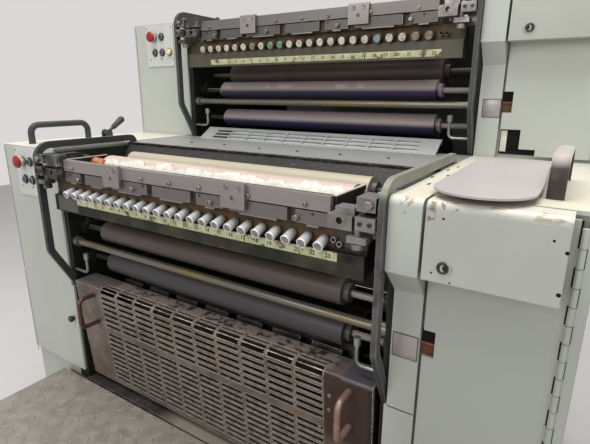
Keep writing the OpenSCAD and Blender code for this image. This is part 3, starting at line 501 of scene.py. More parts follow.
GRIP = finish_of(
    "lever_grip", (66, 68, 68), (50, 52, 52), patch=(30.0, 0.4, 0.65),
    grime_and_shade=((26, 26, 26), 0.01, 0.5), wear=((140, 140, 136), 0.0015, 0.5),
    rough=(0.35, 0.5), shine=0.2, grain=(400.0, 0.2, 0.0003))

FINISH = {
    "base_plinth": PLINTH, "near_left_cabinet": PAINT, "far_left_cabinet": PAINT,
    "near_right_cabinet": PAINT, "far_right_cabinet": PAINT, "right_columns": PAINT,
    "hinge_strips": PAINT, "rear_cover": PAINT, "near_right_door": PAINT,
    "far_right_door": PAINT, "near_door_box": BOX_PAINT, "far_door_box": BOX_PAINT,
    "sill_plate": SILL, "footboard": TREAD, "side_frames": IRON_GREEN,
    "control_panels": PANEL, "handrails": TUBE, "left_grab_handle": TUBE,
    "lever_brackets": GRIP, "fan_tray": TRAY, "arch_handle": ARCH, "top_covers": WALL,
    "far_step_grille": STEP_PLATE, "tie_rods": ROD_STEEL, "ink_ducts": IRON_GREEN,
    "duct_bars": BAR_STEEL, "ink_keys": KNOB, "duct_mounts": BLOCK_STEEL,
    "roller_sockets": IRON_GREEN, "roller_catches": CATCH,
    "near_fountain_roller": PINK_INK, "far_fountain_roller": PINK_INK,
    "near_transfer_roller": CREAM_INK, "far_transfer_roller": CREAM_INK,
    "near_back_roller": ROLLER, "far_back_roller": ROLLER,
    "near_upper_roller": ROLLER, "far_upper_roller": ROLLER_BLUE,
    "near_lower_roller": ROLLER, "far_lower_roller": ROLLER_BLUE,
    "near_plate_cylinder": CYLINDER, "far_plate_cylinder": CYLINDER,
    "near_guard": GUARD_PAINT, "near_guard_handles": COPPER,
    "near_lever": GRIP, "far_lever": GRIP,
}


def dress_nodes():
    """Gives every CAD node its finish."""
    for name, material in FINISH.items():
        mesh = NODES[name].data
        mesh.materials.clear()
        mesh.materials.append(material)


# Camera, floor and light
CAMERA_AT = Vector((0.70717, -0.99749, 1.23204))
YAW, PITCH, ROLL = (math.radians(a) for a in (32.5065, 15.7446, 0.2862))
FOCAL_PIXELS = 453.704
PICTURE_WIDE = 590
SENSOR = 36.0
ROOM_TINT = (0.97, 0.98, 0.97, 1)
ROOM_LIGHT = 0.45
WALL_TONE = (219, 215, 214)
FLOOR_TONES = ((204, 200, 199), (196, 193, 192))
FLOOR_REACH = 6.0
LAMPS = (("ceiling", (0.1, -0.3, 4.2), (0, 0.1, 0.8), (3.2, 3.2), 168, (1, 1, 1)),
         ("front", (-0.5, -3.4, 2.3), (0, 0, 0.8), (2.2, 1.6), 34, (1, 0.98, 0.96)),
         ("side", (3.0, -1.6, 2.2), (0, 0, 0.9), (1.6, 1.6), 18, (0.96, 0.98, 1)))


def make_camera():
    """The camera fitted to the photograph."""
    look = Vector((-math.sin(YAW) * math.cos(PITCH), math.cos(YAW) * math.cos(PITCH),
                   -math.sin(PITCH)))
    level = Vector((math.cos(YAW), math.sin(YAW), 0))
    upright = level.cross(look)
    right = math.cos(ROLL) * level + math.sin(ROLL) * upright
    up = math.cos(ROLL) * upright - math.sin(ROLL) * level
    lens = bpy.data.cameras.new("camera")
    lens.sensor_width = SENSOR
    lens.lens = FOCAL_PIXELS / PICTURE_WIDE * SENSOR
    lens.clip_start = 0.02
    camera = put_in_scene("camera", lens)
    turn = Matrix((right, up, -look)).transposed().to_4x4()
    camera.matrix_world = Matrix.Translation(CAMERA_AT) @ turn
    bpy.context.scene.camera = camera


def lamp(name, place, aim, size, power, tint):
    """A soft lamp that looks at a point."""
    light = bpy.data.lights.new(name, "AREA")
    light.shape = "RECTANGLE"
    light.size, light.size_y = size
    light.energy = power
    light.color = tint
    away = Vector(place) - Vector(aim)
    turn = away.to_track_quat("Z", "Y").to_matrix().to_4x4()
    put_in_scene(name, light).matrix_world = Matrix.Translation(place) @ turn


def make_room():
    """A world that lights softly and is seen as a pale wall."""
    world = bpy.data.worlds.new("room")
    bpy.context.scene.world = world
    world.use_nodes = True
    b = Bench(world.node_tree)
    back = world.node_tree.nodes["Background"]
    path = b.put("ShaderNodeLightPath")
    mirrored = b.math("MAXIMUM", path.outputs["Is Glossy Ray"],
                      path.outputs["Is Transmission Ray"])
    seen = b.math("MAXIMUM", path.outputs["Is Camera Ray"], mirrored)
    b.plug(back.inputs["Color"], b.mix(seen, ROOM_TINT, srgb(*WALL_TONE)))
    b.plug(back.inputs["Strength"], b.span(seen, 0.0, 1.0, ROOM_LIGHT, 1.0))


def make_floor():
    """A plain pale floor."""
    r = FLOOR_REACH
    mesh = bpy.data.meshes.new("floor")
    mesh.from_pydata([(-r, -r, 0), (r, -r, 0), (r, r, 0), (-r, r, 0)], [], [(0, 1, 2, 3)])
    pale, b, shader = new_material("floor_pale")
    clouds = b.use(PATCH, Scale=1.5, Low=0.3, High=0.7)
    b.plug(shader.inputs["Base Color"], b.mix(clouds, *(srgb(*tone) for tone in FLOOR_TONES)))
    shader.inputs["Roughness"].default_value = 0.7
    mesh.materials.append(pale)
    put_in_scene("floor", mesh)


def make_stage():
    """Floor, world and lamps, in plain colours."""
    bpy.context.scene.view_settings.view_transform = "Standard"
    make_room()
    make_floor()
    for values in LAMPS:
        lamp(*values)


# Pieces: meshes in the millimetres of a unit
FRONT = (0, -1, 0)
UPWARD = (0, 0, 1)
RIGHTWARD = (1, 0, 0)
CREASE = 35


class Shape:
    """Collects the faces of one piece, in the millimetres of one unit."""

    def __init__(self, unit=0):
        self.unit = unit
        self.mesh = bmesh.new()

    def vertex(self, point):
        return self.mesh.verts.new(at(self.unit, *point))

    def prism(self, outline, start, end, place):
        """An outline drawn at two distances; place(a, b, distance) gives each corner."""
        near = [self.vertex(place(a, b, start)) for a, b in outline]
        far = [self.vertex(place(a, b, end)) for a, b in outline]
        self.mesh.faces.new(near)
        self.mesh.faces.new(list(reversed(far)))
        for i, corner in enumerate(near):
            j = (i + 1) % len(near)
            self.mesh.faces.new((corner, far[i], far[j], near[j]))

    def along_x(self, outline, start, end):
        """A depth and height outline run along X."""
        self.prism(outline, start, end, lambda y, z, x: (x, y, z))

    def block(self, x, y, z, round_by=0.0):
        """A box from its spans along the three axes, its edges rounded where asked."""
        before = set(self.mesh.verts)
        self.along_x([(y[0], z[0]), (y[1], z[0]), (y[1], z[1]), (y[0], z[1])], *x)
        if round_by:
            new = [e for e in self.mesh.edges if e.verts[0] not in before]
            bmesh.ops.bevel(self.mesh, geom=new, offset=round_by * MM, segments=2,
                            affect="EDGES", profile=0.5)

    def turned(self, centre, axis, profile, sides=24, ring=False):
        """A turned form, or a ring; its profile holds (radius, distance along the axis)."""
        ahead = Vector(axis).normalized()
        across = ahead.orthogonal().normalized()
        third = ahead.cross(across)
        turns = [2 * math.pi * k / sides for k in range(sides)]
        rings = []
        for radius, along in profile:
            middle = Vector(centre) + ahead * along
            if radius == 0:
                rings.append([self.vertex(middle)] * sides)
                continue
            rings.append([self.vertex(middle + radius * (math.cos(t) * across
                                                         + math.sin(t) * third))
                          for t in turns])
        for loop, after in zip(rings, rings[1:] + (rings[:1] if ring else [])):
            for k in range(sides):
                j = (k + 1) % sides
                corners = list(dict.fromkeys((loop[k], loop[j], after[j], after[k])))
                self.mesh.faces.new(corners)
        for end in () if ring else (rings[0], rings[-1]):
            if end[0] is not end[1]:
                self.mesh.faces.new(end)


def add(name, shape, material, body="press", crease=CREASE):
    """Turns a shape into a named piece that rides on a body."""
    data = bpy.data.meshes.new(name)
    bmesh.ops.recalc_face_normals(shape.mesh, faces=shape.mesh.faces)
    shape.mesh.to_mesh(data)
    shape.mesh.free()
    data.shade_smooth()
    data.set_sharp_from_angle(angle=math.radians(crease))
    data.materials.append(material)
    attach(put_in_scene(name, data), body)


def add_blocks(name, unit, blocks, material, round_by=0.0):
    """A piece of blocks, each given by its spans along the three axes."""
    shape = Shape(unit)
    for spans in blocks:
        shape.block(*spans, round_by)
    add(name, shape, material)


def add_turned(name, unit, centres, profile, material, body="press", sides=24, axis=FRONT):
    """A piece of like turned forms at some places."""
    shape = Shape(unit)
    for centre in centres:
        shape.turned(centre, axis, profile, sides)
    add(name, shape, material, body)


# Geometry Nodes: screw heads, rivets and the lugs of the tread
def grown_head(g, given):
    """A round or six-sided head with a chamfer and a recess, standing on the origin."""
    height = given.outputs["Height"]
    barrel = g.put("GeometryNodeMeshCylinder", Vertices=given.outputs["Sides"],
                   Radius=given.outputs["Radius"], Depth=height)
    lift = g.put("ShaderNodeCombineXYZ", Z=g.math("MULTIPLY", height, 0.5))
    moved = g.put("GeometryNodeTransform", Geometry=barrel.outputs["Mesh"],
                  Translation=lift.outputs[0])
    axes = g.put("ShaderNodeSeparateXYZ", Vector=g.put("GeometryNodeInputNormal").outputs[0])
    upward = g.math("GREATER_THAN", axes.outputs[2], 0.9)
    chamfer = g.put("GeometryNodeExtrudeMesh", Mesh=moved.outputs[0], Selection=upward,
                    Offset_Scale=g.math("MULTIPLY", height, 0.22))
    crown = g.put("GeometryNodeScaleElements", Geometry=chamfer.outputs["Mesh"],
                  Selection=chamfer.outputs["Top"], Scale=0.86)
    rim = g.put("GeometryNodeExtrudeMesh", Mesh=crown.outputs[0],
                Selection=chamfer.outputs["Top"], Offset_Scale=0.0)
    inner = g.put("GeometryNodeScaleElements", Geometry=rim.outputs["Mesh"],
                  Selection=rim.outputs["Top"], Scale=given.outputs["Recess"])
    sunk = g.put("GeometryNodeExtrudeMesh", Mesh=inner.outputs[0], Selection=rim.outputs["Top"],
                 Offset_Scale=g.math("MULTIPLY", given.outputs["Recess Depth"], -1.0))
    return sunk.outputs["Mesh"]


def dress_grown(g, grown, given, out):
    """Makes the instances real, gives them their material and puts them out."""
    real = g.put("GeometryNodeRealizeInstances", Geometry=grown)
    dressed = g.put("GeometryNodeSetMaterial", Geometry=real.outputs[0],
                    Material=given.outputs["Metal"])
    g.plug(out.inputs[0], dressed.outputs[0])


def make_head_tree():
    """Screw heads on every point, turned to the point's facing."""
    tree, given, out = node_group("screw_heads", "GeometryNodeTree", [
        ("Points", "NodeSocketGeometry", None), ("Radius", "NodeSocketFloat", 0.004),
        ("Height", "NodeSocketFloat", 0.003), ("Sides", "NodeSocketInt", 12),
        ("Recess", "NodeSocketFloat", 0.5), ("Recess Depth", "NodeSocketFloat", 0.0015),
        ("Metal", "NodeSocketMaterial", None)], [("Geometry", "NodeSocketGeometry")])
    g = Bench(tree)
    facing = g.put("GeometryNodeInputNamedAttribute", {"data_type": "FLOAT_VECTOR"},
                   Name="facing")
    turn = g.put("FunctionNodeAlignRotationToVector", {"axis": "Z"},
                 Vector=facing.outputs["Attribute"])
    heads = g.put("GeometryNodeInstanceOnPoints", Points=given.outputs["Points"],
                  Instance=grown_head(g, given), Rotation=turn.outputs[0])
    dress_grown(g, heads.outputs[0], given, out)
    return tree


def make_lug_tree():
    """Raised lugs of a chequered plate, turned one way and the other in turn."""
    tree, given, out = node_group("tread_lugs", "GeometryNodeTree", [
        ("Base", "NodeSocketGeometry", None), ("Middle", "NodeSocketVector", (0, 0, 0)),
        ("Length", "NodeSocketFloat", 1.0), ("Width", "NodeSocketFloat", 0.4),
        ("Columns", "NodeSocketInt", 40), ("Rows", "NodeSocketInt", 12),
        ("Lug", "NodeSocketVector", (0.011, 0.003, 0.0016)),
        ("Metal", "NodeSocketMaterial", None)], [("Geometry", "NodeSocketGeometry")])
    g = Bench(tree)
    rows = given.outputs["Rows"]
    grid = g.put("GeometryNodeMeshGrid", Size_X=given.outputs["Length"],
                 Size_Y=given.outputs["Width"], Vertices_X=given.outputs["Columns"],
                 Vertices_Y=rows)
    index = g.put("GeometryNodeInputIndex").outputs[0]
    column = g.math("FLOOR", g.math("DIVIDE", index, rows))
    row = g.math("MODULO", index, rows)
    odd = g.math("MODULO", g.math("ADD", column, row), 2.0)
    slant = g.put("ShaderNodeCombineXYZ", Z=g.span(odd, 0.0, 1.0, -0.8, 0.8))
    ball = g.put("GeometryNodeMeshUVSphere", Segments=8, Rings=4, Radius=1.0)
    lug = g.put("GeometryNodeTransform", Geometry=ball.outputs[0], Scale=given.outputs["Lug"])
    spread = g.put("GeometryNodeInstanceOnPoints", Points=grid.outputs[0],
                   Instance=lug.outputs[0], Rotation=slant.outputs[0])
    moved = g.put("GeometryNodeTransform", Geometry=spread.outputs[0],
                  Translation=given.outputs["Middle"])
    dress_grown(g, moved.outputs[0], given, out)
    return tree


HEADS = make_head_tree()
LUGS = make_lug_tree()


def grow(name, tree, points, values, body, facings=()):
    """Runs a tree over some points and keeps its result as one plain mesh."""
    seeds = bpy.data.meshes.new(name + "_points")
    seeds.from_pydata([tuple(p) for p in points], [], [])
    if facings:
        facing = seeds.attributes.new("facing", "FLOAT_VECTOR", "POINT")
        for datum, way in zip(facing.data, facings):
            datum.vector = way
    piece = put_in_scene(name, seeds)
    grower = piece.modifiers.new(tree.name, "NODES")
    grower.node_group = tree
    sockets = {s.name: s.identifier for s in tree.interface.items_tree if s.in_out == "INPUT"}
    for label, value in values.items():
        grower[sockets[label]] = value
    graph = bpy.context.evaluated_depsgraph_get()
    grown = bpy.data.meshes.new_from_object(piece.evaluated_get(graph))
    grown.name = name
    piece.modifiers.clear()
    piece.data = grown
    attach(piece, body)


def head(radius, height, sides, recess, recess_depth):
    """A kind of screw head, in millimetres; recess is its share of the head's width."""
    return {"Radius": radius * MM, "Height": height * MM, "Sides": sides, "Recess": recess,
            "Recess Depth": recess_depth * MM}


CAP = head(4.2, 4.0, 12, 0.55, 2.0)
STUD = head(5.2, 7, 12, 0.55, 2.0)
PAN = head(3.6, 2.2, 12, 0.4, 1.0)
SMALL = head(2.4, 1.6, 10, 0.45, 0.8)
MOUNT_HEX = head(7, 6.0, 6, 0.6, 0.5)
FRAME_HEX = head(6.5, 4, 6, 0.6, 0.5)
KEY_DISH = head(7.4, 0.9, 18, 0.5, 0.3)


def screws(name, spots, kind, material, body="press", way=FRONT):
    """One mesh of like screws at points, all facing one way."""
    grow(name, HEADS, spots, dict(kind, Metal=material), body, [way] * len(spots))


def in_units(places):
    """The same places in both units."""
    return [at(unit, *place) for unit in UNITS for place in places]


# Finishes of the small pieces
SCREW_STEEL = finish_of(
    "screw_steel", (150, 142, 140), (116, 104, 98), patch=(70.0, 0.4, 0.6),
    grime_and_shade=((40, 34, 30), 0.006, 0.9), wear=((208, 202, 198), 0.0008, 0.8),
    rough=(0.3, 0.5), metal=0.6, wear_metal=0.9, grain=(700.0, 0.2, 0.0002))
DARK_STEEL = finish_of(
    "dark_steel", (60, 56, 52), (40, 36, 34), patch=(60.0, 0.4, 0.6),
    grime_and_shade=((20, 18, 16), 0.006, 0.9), wear=((150, 144, 136), 0.0008, 0.8),
    rough=(0.35, 0.55), metal=0.5, wear_metal=0.9, grain=(700.0, 0.2, 0.0002))
PAINTED_SCREW = finish_of(
    "painted_screw", (160, 158, 148), (140, 138, 128), patch=(60.0, 0.4, 0.6),
    grime_and_shade=((70, 62, 52), 0.006, 0.9), wear=((96, 84, 74), 0.0008, 0.7),
    rough=(0.4, 0.55), grain=(700.0, 0.15, 0.0002))
BLACK_PLASTIC = finish_of(
    "black_plastic", (30, 31, 32), (42, 43, 44), patch=(50.0, 0.4, 0.65),
    grime_and_shade=((60, 56, 50), 0.004, 0.4), wear=((96, 96, 94), 0.0008, 0.5),
    rough=(0.3, 0.45), grain=(600.0, 0.12, 0.0002))
RED_CAP = finish_of(
    "red_cap", (152, 27, 24), (133, 22, 21), patch=(60.0, 0.4, 0.65),
    grime_and_shade=((70, 20, 18), 0.005, 0.6), wear=((214, 96, 84), 0.0008, 0.5),
    rough=(0.28, 0.4), grain=(600.0, 0.1, 0.0002))
GREEN_CAP = finish_of(
    "green_cap", (36, 74, 58), (28, 60, 48), patch=(60.0, 0.4, 0.65),
    grime_and_shade=((14, 26, 22), 0.005, 0.6), wear=((92, 120, 104), 0.0008, 0.5),
    rough=(0.28, 0.4), grain=(600.0, 0.1, 0.0002))
BLUE_CAP = finish_of(
    "slate_cap", (52, 62, 76), (42, 50, 62), patch=(60.0, 0.4, 0.65),
    grime_and_shade=((18, 22, 28), 0.005, 0.6), wear=((112, 120, 130), 0.0008, 0.5),
    rough=(0.28, 0.4), grain=(600.0, 0.1, 0.0002))
LAMP_LENS = finish_of(
    "lamp_lens", (232, 226, 204), (216, 208, 184), patch=(80.0, 0.4, 0.65),
    grime_and_shade=((150, 120, 60), 0.004, 0.6), rough=(0.2, 0.3), grain=(900.0, 0.15, 0.0002))
LAMP_RING = finish_of(
    "lamp_ring", (168, 130, 60), (140, 112, 60), patch=(80.0, 0.4, 0.65),
    grime_and_shade=((60, 46, 24), 0.004, 0.7), wear=((210, 180, 110), 0.0008, 0.6),
    rough=(0.3, 0.45), metal=0.5, wear_metal=0.7, grain=(900.0, 0.15, 0.0002))
BARE_PLATE = finish_of(
    "bare_plate", (168, 163, 160), (156, 150, 147), patch=(30.0, 0.4, 0.65),
    grime_and_shade=((92, 86, 80), 0.004, 0.5), wear=((206, 202, 198), 0.0008, 0.5),
    rough=(0.32, 0.42), metal=0.4, wear_metal=0.6, grain=(900.0, 0.12, 0.0002),
    stretch=(0.1, 1, 1))
PLATE_EDGE = finish_of(
    "plate_border", (66, 60, 58), (84, 76, 72), patch=(60.0, 0.4, 0.65),
    grime_and_shade=((30, 28, 26), 0.004, 0.5), rough=(0.4, 0.5), grain=(900.0, 0.12, 0.0002))
NUMBER_STRIP = finish_of(
    "number_strip", (190, 194, 158), (170, 170, 132), patch=(60.0, 0.42, 0.6),
    grime_and_shade=((88, 66, 40), 0.004, 0.8), wear=((150, 140, 104), 0.0008, 0.6),
    rough=(0.4, 0.55), grain=(700.0, 0.15, 0.0002),
    extras=[stain(unit, (24, 15, -26), (380, 6, 24), (112, 88, 56), 38, 0.58, 0.62)
            for unit in UNITS])
DIGIT = finish_of(
    "digit_paint", (34, 34, 30), (58, 56, 48), patch=(120.0, 0.45, 0.6),
    grime_and_shade=((20, 18, 16), 0.003, 0.4), rough=(0.5, 0.6), grain=(900.0, 0.1, 0.0001))
INK_SKIN = finish_of(
    "ink_skin", (209, 206, 196), (198, 193, 181), patch=(50.0, 0.42, 0.62),
    grime_and_shade=((120, 84, 66), 0.008, 0.6), rough=(0.25, 0.4), grain=(160.0, 0.4, 0.0008))
INK_LUMP = finish_of(
    "ink_lump", (196, 128, 82), (160, 92, 54), patch=(60.0, 0.42, 0.62),
    grime_and_shade=((70, 40, 24), 0.008, 0.6), rough=(0.22, 0.36), grain=(120.0, 0.4, 0.001))
KNOB_RIM = finish_of(
    "knob_rim", (226, 228, 228), (206, 208, 208), patch=(60.0, 0.45, 0.7),
    grime_and_shade=((92, 74, 56), 0.006, 0.8), rough=(0.25, 0.4), grain=(600.0, 0.12, 0.0002))
# Near black of painted shade, for the cuts and the gaps beside the hinges; also the dots on the
# near box and the column's seam
CUT_DARK = finish_of(
    "cut_shadow", (18, 17, 16), (28, 25, 22), patch=(60.0, 0.4, 0.6),
    grime_and_shade=((10, 9, 8), 0.01, 0.6), rough=(0.6, 0.75), shine=0.1, grain=(300.0, 0.2, 0.0003),
    extras=[coat(0, (536, 59, -160), (12, 3, 11), (100, 64, 44), 0.002),
            coat(1, (536, 59, -160), (12, 3, 11), (96, 74, 50), 0.002)])
LATCH_PLATE = finish_of(
    "latch_plate", (214, 210, 196), (196, 190, 174), patch=(60.0, 0.4, 0.6),
    grime_and_shade=((96, 84, 66), 0.006, 0.8), wear=((140, 128, 112), 0.001, 0.6),
    rough=(0.4, 0.55), grain=(500.0, 0.2, 0.0003))
STEP_INNER = finish_of(
    "step_inner_sheet", (196, 199, 197), (178, 181, 179), patch=(18.0, 0.4, 0.6),
    grime_and_shade=((70, 68, 64), 0.004, 0.5), rough=(0.4, 0.55), metal=0.3,
    grain=(300.0, 0.2, 0.0003))
LOCK_CORE = finish_of(
    "lock_core", (62, 50, 48), (50, 41, 38), patch=(90.0, 0.4, 0.6),
    grime_and_shade=((40, 32, 30), 0.004, 0.8), wear=((150, 132, 126), 0.0008, 0.6),
    rough=(0.55, 0.7), metal=0.0, shine=0.15, grain=(600.0, 0.2, 0.0002))
LATCH = finish_of(
    "latch_rust", (120, 76, 52), (90, 56, 40), patch=(90.0, 0.4, 0.6),
    grime_and_shade=((30, 22, 18), 0.005, 0.8), wear=((190, 170, 150), 0.0008, 0.6),
    rough=(0.5, 0.7), metal=0.3, grain=(500.0, 0.3, 0.0003))
TREAD_LUG = finish_of(
    "tread_lug", (151, 144, 136), (128, 121, 113), patch=(18.0, 0.4, 0.62),
    grime_and_shade=((70, 64, 58), 0.004, 0.5), rough=(0.48, 0.62), metal=0.15,
    grain=(300.0, 0.2, 0.0003))
EDGE_RUBBER = finish_of(
    "cover_edge_rubber", (28, 26, 26), (48, 44, 42), patch=(60.0, 0.4, 0.6),
    grime_and_shade=((16, 14, 14), 0.004, 0.5), rough=(0.6, 0.75), grain=(260.0, 0.4, 0.0006))

# Ink keys: some keys from the first to the last of a run have another tint
MIDDLE_KEY = (KEY_COUNT - 1) / 2
KEY_XS = [(k - MIDDLE_KEY) * KEY_PITCH / MM for k in range(KEY_COUNT)]
KEY_AXIS = (0, -math.cos(KEY_SLOPE), -math.sin(KEY_SLOPE))
KEY_TINTS = ((6, 6, (150, 138, 124)), (8, 9, (132, 162, 140)), (18, 18, (140, 162, 176)),
             (21, 22, (150, 136, 118)))
DISH_DEPTH = 0.5
RIM_BACK = (1.4, 0.5)
RIM_PROFILE = ((7.2, -0.4), (9.0, -0.4), (9.3, 0.4), (9.3, 1.4), (8.9, 2.2), (7.6, 2.2), (7.2, 1.4))


def make_key_disc():
    """The recessed end of each ink key: cream in the far row, with a few of another tint."""
    mat, b, shader = new_material("key_end_disc")
    axes = b.put("ShaderNodeSeparateXYZ", Vector=b.place())
    column = b.math("FLOOR", b.math("DIVIDE", b.math("ADD", axes.outputs[0], KEY_PITCH / 2),
                                    KEY_PITCH))
    far_row = b.math("GREATER_THAN", axes.outputs[2], KEY_Z + UNIT_RISE / 2)
    spot = b.put("ShaderNodeCombineXYZ", X=column)
    dice = b.put("ShaderNodeTexWhiteNoise", Vector=spot.outputs[0])
    tone = b.mix(dice.outputs["Value"], srgb(228, 222, 204), srgb(198, 192, 176))
    for first, last, tint in KEY_TINTS:
        chosen = b.math("MULTIPLY", b.math("GREATER_THAN", column, first - MIDDLE_KEY - 0.5),
                        b.math("LESS_THAN", column, last - MIDDLE_KEY + 0.5))
        tone = b.mix(chosen, tone, srgb(*tint))
    worn = b.use(PATCH, Scale=160.0, Low=0.5, High=0.62, Detail=4.0)
    tone = b.mix(far_row, srgb(138, 137, 136), tone)
    b.plug(shader.inputs["Base Color"], b.mix(b.math("MULTIPLY", worn, 0.6), tone,
                                              srgb(84, 70, 60)))
    b.plug(shader.inputs["Roughness"], b.span(worn, 0.0, 1.0, 0.35, 0.6))
    add_grain(b, shader, (500.0, 0.15, 0.0002))
    return mat


KEY_DISC = make_key_disc()


def dress_keys():
    """A disc in the dish of each key, a rim round it, and the number strips."""
    for unit, word in enumerate(UNIT_WORDS):
        ends = [at(unit, x, DISH_DEPTH, 0) for x in KEY_XS]
        screws(word + "_key_discs", ends, KEY_DISH, KEY_DISC, way=KEY_AXIS)
        rims = Shape(unit)
        for x in KEY_XS:
            rims.turned((x, *RIM_BACK), KEY_AXIS, RIM_PROFILE, 20, ring=True)
        add(word + "_key_rims", rims, (KNOB_RIM, KEY_DISC)[unit])
        number_strip(unit, word)


# Number strips under the keys, in millimetres of a unit
STRIP_LENGTHS = ((-338, -262), (-260, -120), (-119, 30), (31, 190), (192, 386))
STRIP_DEPTH = (14.9, 16.2)
STRIP_MIDDLE = (-18.3, -37.5)
STRIP_HALF = 7.9
NUMBER_END = 369
NUMBER_STEP = 30.25
NUMBER_FACE = 14.8
NUMBER_SIZE = 11


def number_strip(unit, word):
    """A strip in five lengths under the keys, with a number for each key."""
    middle = STRIP_MIDDLE[unit]
    tall = (middle - STRIP_HALF, middle + STRIP_HALF)
    add_blocks(word + "_number_strip", unit, [(x, STRIP_DEPTH, tall) for x in STRIP_LENGTHS],
               NUMBER_STRIP, 0.3)
    digits = Shape(unit)
    for n in range(KEY_COUNT):
        x = NUMBER_END - NUMBER_STEP * (KEY_COUNT - 1 - n)
        add_digits(digits.mesh, str(n + 1), at(unit, x, NUMBER_FACE, middle))
    add(word + "_key_numbers", digits, DIGIT)


def add_digits(mesh, words, place):
    """Flat digits that face the operator, a fifth of a millimetre thick."""
    curve = bpy.data.curves.new("digits", "FONT")
    curve.body = words
    curve.size = NUMBER_SIZE * MM
    curve.extrude = 0.1 * MM
    curve.offset = 0.25 * MM
    curve.align_x = "CENTER"
    curve.align_y = "CENTER"
    curve.resolution_u = 3
    holder = put_in_scene("digits", curve)
    graph = bpy.context.evaluated_depsgraph_get()
    flat = bpy.data.meshes.new_from_object(holder.evaluated_get(graph))
    flat.transform(Matrix.Translation(place) @ Matrix.Rotation(math.radians(90), 4, "X"))
    mesh.from_mesh(flat)
    bpy.data.objects.remove(holder)
    bpy.data.curves.remove(curve)
    bpy.data.meshes.remove(flat)


# Fixings of the bars over the keys: places along the bar, then their depth and height
BAR_FIXINGS = (("bar_screws", (-337, -86, 0, 83, 204, 325), (13, 65), CAP, SCREW_STEEL),
               ("segment_studs", (-313, -117, 111, 308), (14, 40), STUD, SCREW_STEEL),
               ("segment_pins", (-349, -84, 81, 339), (14, 50), SMALL, DARK_STEEL))

# Clamp blocks on the bars, with two flush screws in each
BLOCKS = (-180, 173)
BLOCK_SCREWS = (-14, 14)
BLOCK_SCREW_PLACE = (4, 77)
FLUSH_RING = ((5.0, -3.0), (6.4, -3.0), (6.4, 0.6), (5.8, 1.0), (5.0, 0.6))
FLUSH_RADIUS = 4.6
FLUSH_DEPTH = (-0.2, 2.6)
HALF_TURNS = range(12, 169, 12)


def dress_bars():
    """Screws, studs and pins along the bars, and the screws of the clamp blocks."""
    for name, xs, place, kind, steel in BAR_FIXINGS:
        screws(name, in_units([(x, *place) for x in xs]), kind, steel)
    flush = Shape()
    for unit in UNITS:
        flush.unit = unit
        for middle in BLOCKS:
            for off in BLOCK_SCREWS:
                flush_screw(flush, (middle + off, *BLOCK_SCREW_PLACE))
    add("block_ring_screws", flush, SCREW_STEEL)


def flush_screw(shape, centre):
    """A flush screw in a raised ring; its two half heads leave a slot between them."""
    shape.turned(centre, FRONT, FLUSH_RING, 20)
    x, y, z = centre
    front, back = FLUSH_DEPTH
    for side in (-1, 1):
        outline = [(x + FLUSH_RADIUS * math.cos(t), z + side * (FLUSH_RADIUS * math.sin(t)))
                   for t in [math.radians(a) for a in HALF_TURNS]]
        shape.prism(outline, y + front, y + back, lambda a, b, d: (a, d, b))


# Duct mounts, sockets and frame ends, in millimetres of a unit
MOUNT_BOLTS = ((448, -6, 83),)
MOUNT_SCREWS = ((452, -12, 54), (436, -12, 54))
FRAME_BOLTS = [(482, 58, z) for z in (70, 20, -330, -420)]
EMPTY_PLACES = (((375, 26, 9), (386, 26, 3)), ((381, 22, 5), (394, 22, 5)))
EMPTY_RING = ((3.2, 0), (3.2, 5.4), (4.6, 6), (5.2, 5.4), (5.2, 0))


def on_both_sides(places):
    """The same places at the left and the right end of both units."""
    return in_units([(side * x, y, z) for side in (-1, 1) for x, y, z in places])


def dress_mounts():
    """Bolts and screws of the mounts and frames, and two small rings past the last key."""
    screws("mount_bolts", on_both_sides(MOUNT_BOLTS), MOUNT_HEX, SCREW_STEEL)
    screws("mount_screws", on_both_sides(MOUNT_SCREWS), PAN, DARK_STEEL)
    rings = Shape()
    for unit, places in enumerate(EMPTY_PLACES):
        rings.unit = unit
        for place in places:
            rings.turned(place, FRONT, EMPTY_RING, 20)
    add("empty_rings", rings, KNOB)
    screws("frame_bolts", on_both_sides(FRAME_BOLTS), FRAME_HEX, DARK_STEEL)


# Doors, hinges and plates of the right cabinets, in millimetres of a unit
DOOR_BODIES = ("front_door", "rear_door")
LOCK_XS = (560, 569)
LOCK_Z = 4
LOCK_RING = ((5.2, -1), (5.2, 2.2), (6.0, 3.0), (8.2, 3.0), (9.0, 2.2), (9.0, -1))
LOCK_BARREL = ((5.4, 0), (5.4, 2.0), (4.6, 2.5), (2.0, 2.5), (1.6, 1.9), (0, 1.9))
HINGE_X = 723
HINGE_FACE = 49.5
HINGE_LOWEST = (-540, -250)
HINGE_TOP = 80
HINGE_STEP = 45
PLATE_SPANS = (((478, 522), (-187, -142)), ((484, 525), (-184, -142)))
PLATE_BORDER = 1.6
LATCH_PLACE = (526, 57, -150)
LATCH_ROD = ((2.4, 0), (2.4, 20))


def hinge_screws(unit, word):
    """Screws along the piano hinge, by the length of the door."""
    low = HINGE_LOWEST[unit]
    count = int((HINGE_TOP - low) / HINGE_STEP) + 1
    spots = [at(unit, HINGE_X, HINGE_FACE, low + HINGE_STEP * k) for k in range(count)]
    screws(word + "_hinge_screws", spots, SMALL, PAINTED_SCREW)


def bare_plate(unit, word):
    """A plain plate with a dark border, on the front of the column."""
    x, z = PLATE_SPANS[unit]
    border = (x, (COVER_FACE - 1, COVER_FACE - 0.1), z)
    inner = [(low + PLATE_BORDER, high - PLATE_BORDER) for low, high in (x, z)]
    plate = (inner[0], (COVER_FACE - 1.6, COVER_FACE - 0.6), inner[1])
    add_blocks(word + "_plate_border", unit, [border], PLATE_EDGE, 0.3)
    add_blocks(word + "_bare_plate", unit, [plate], BARE_PLATE, 0.3)


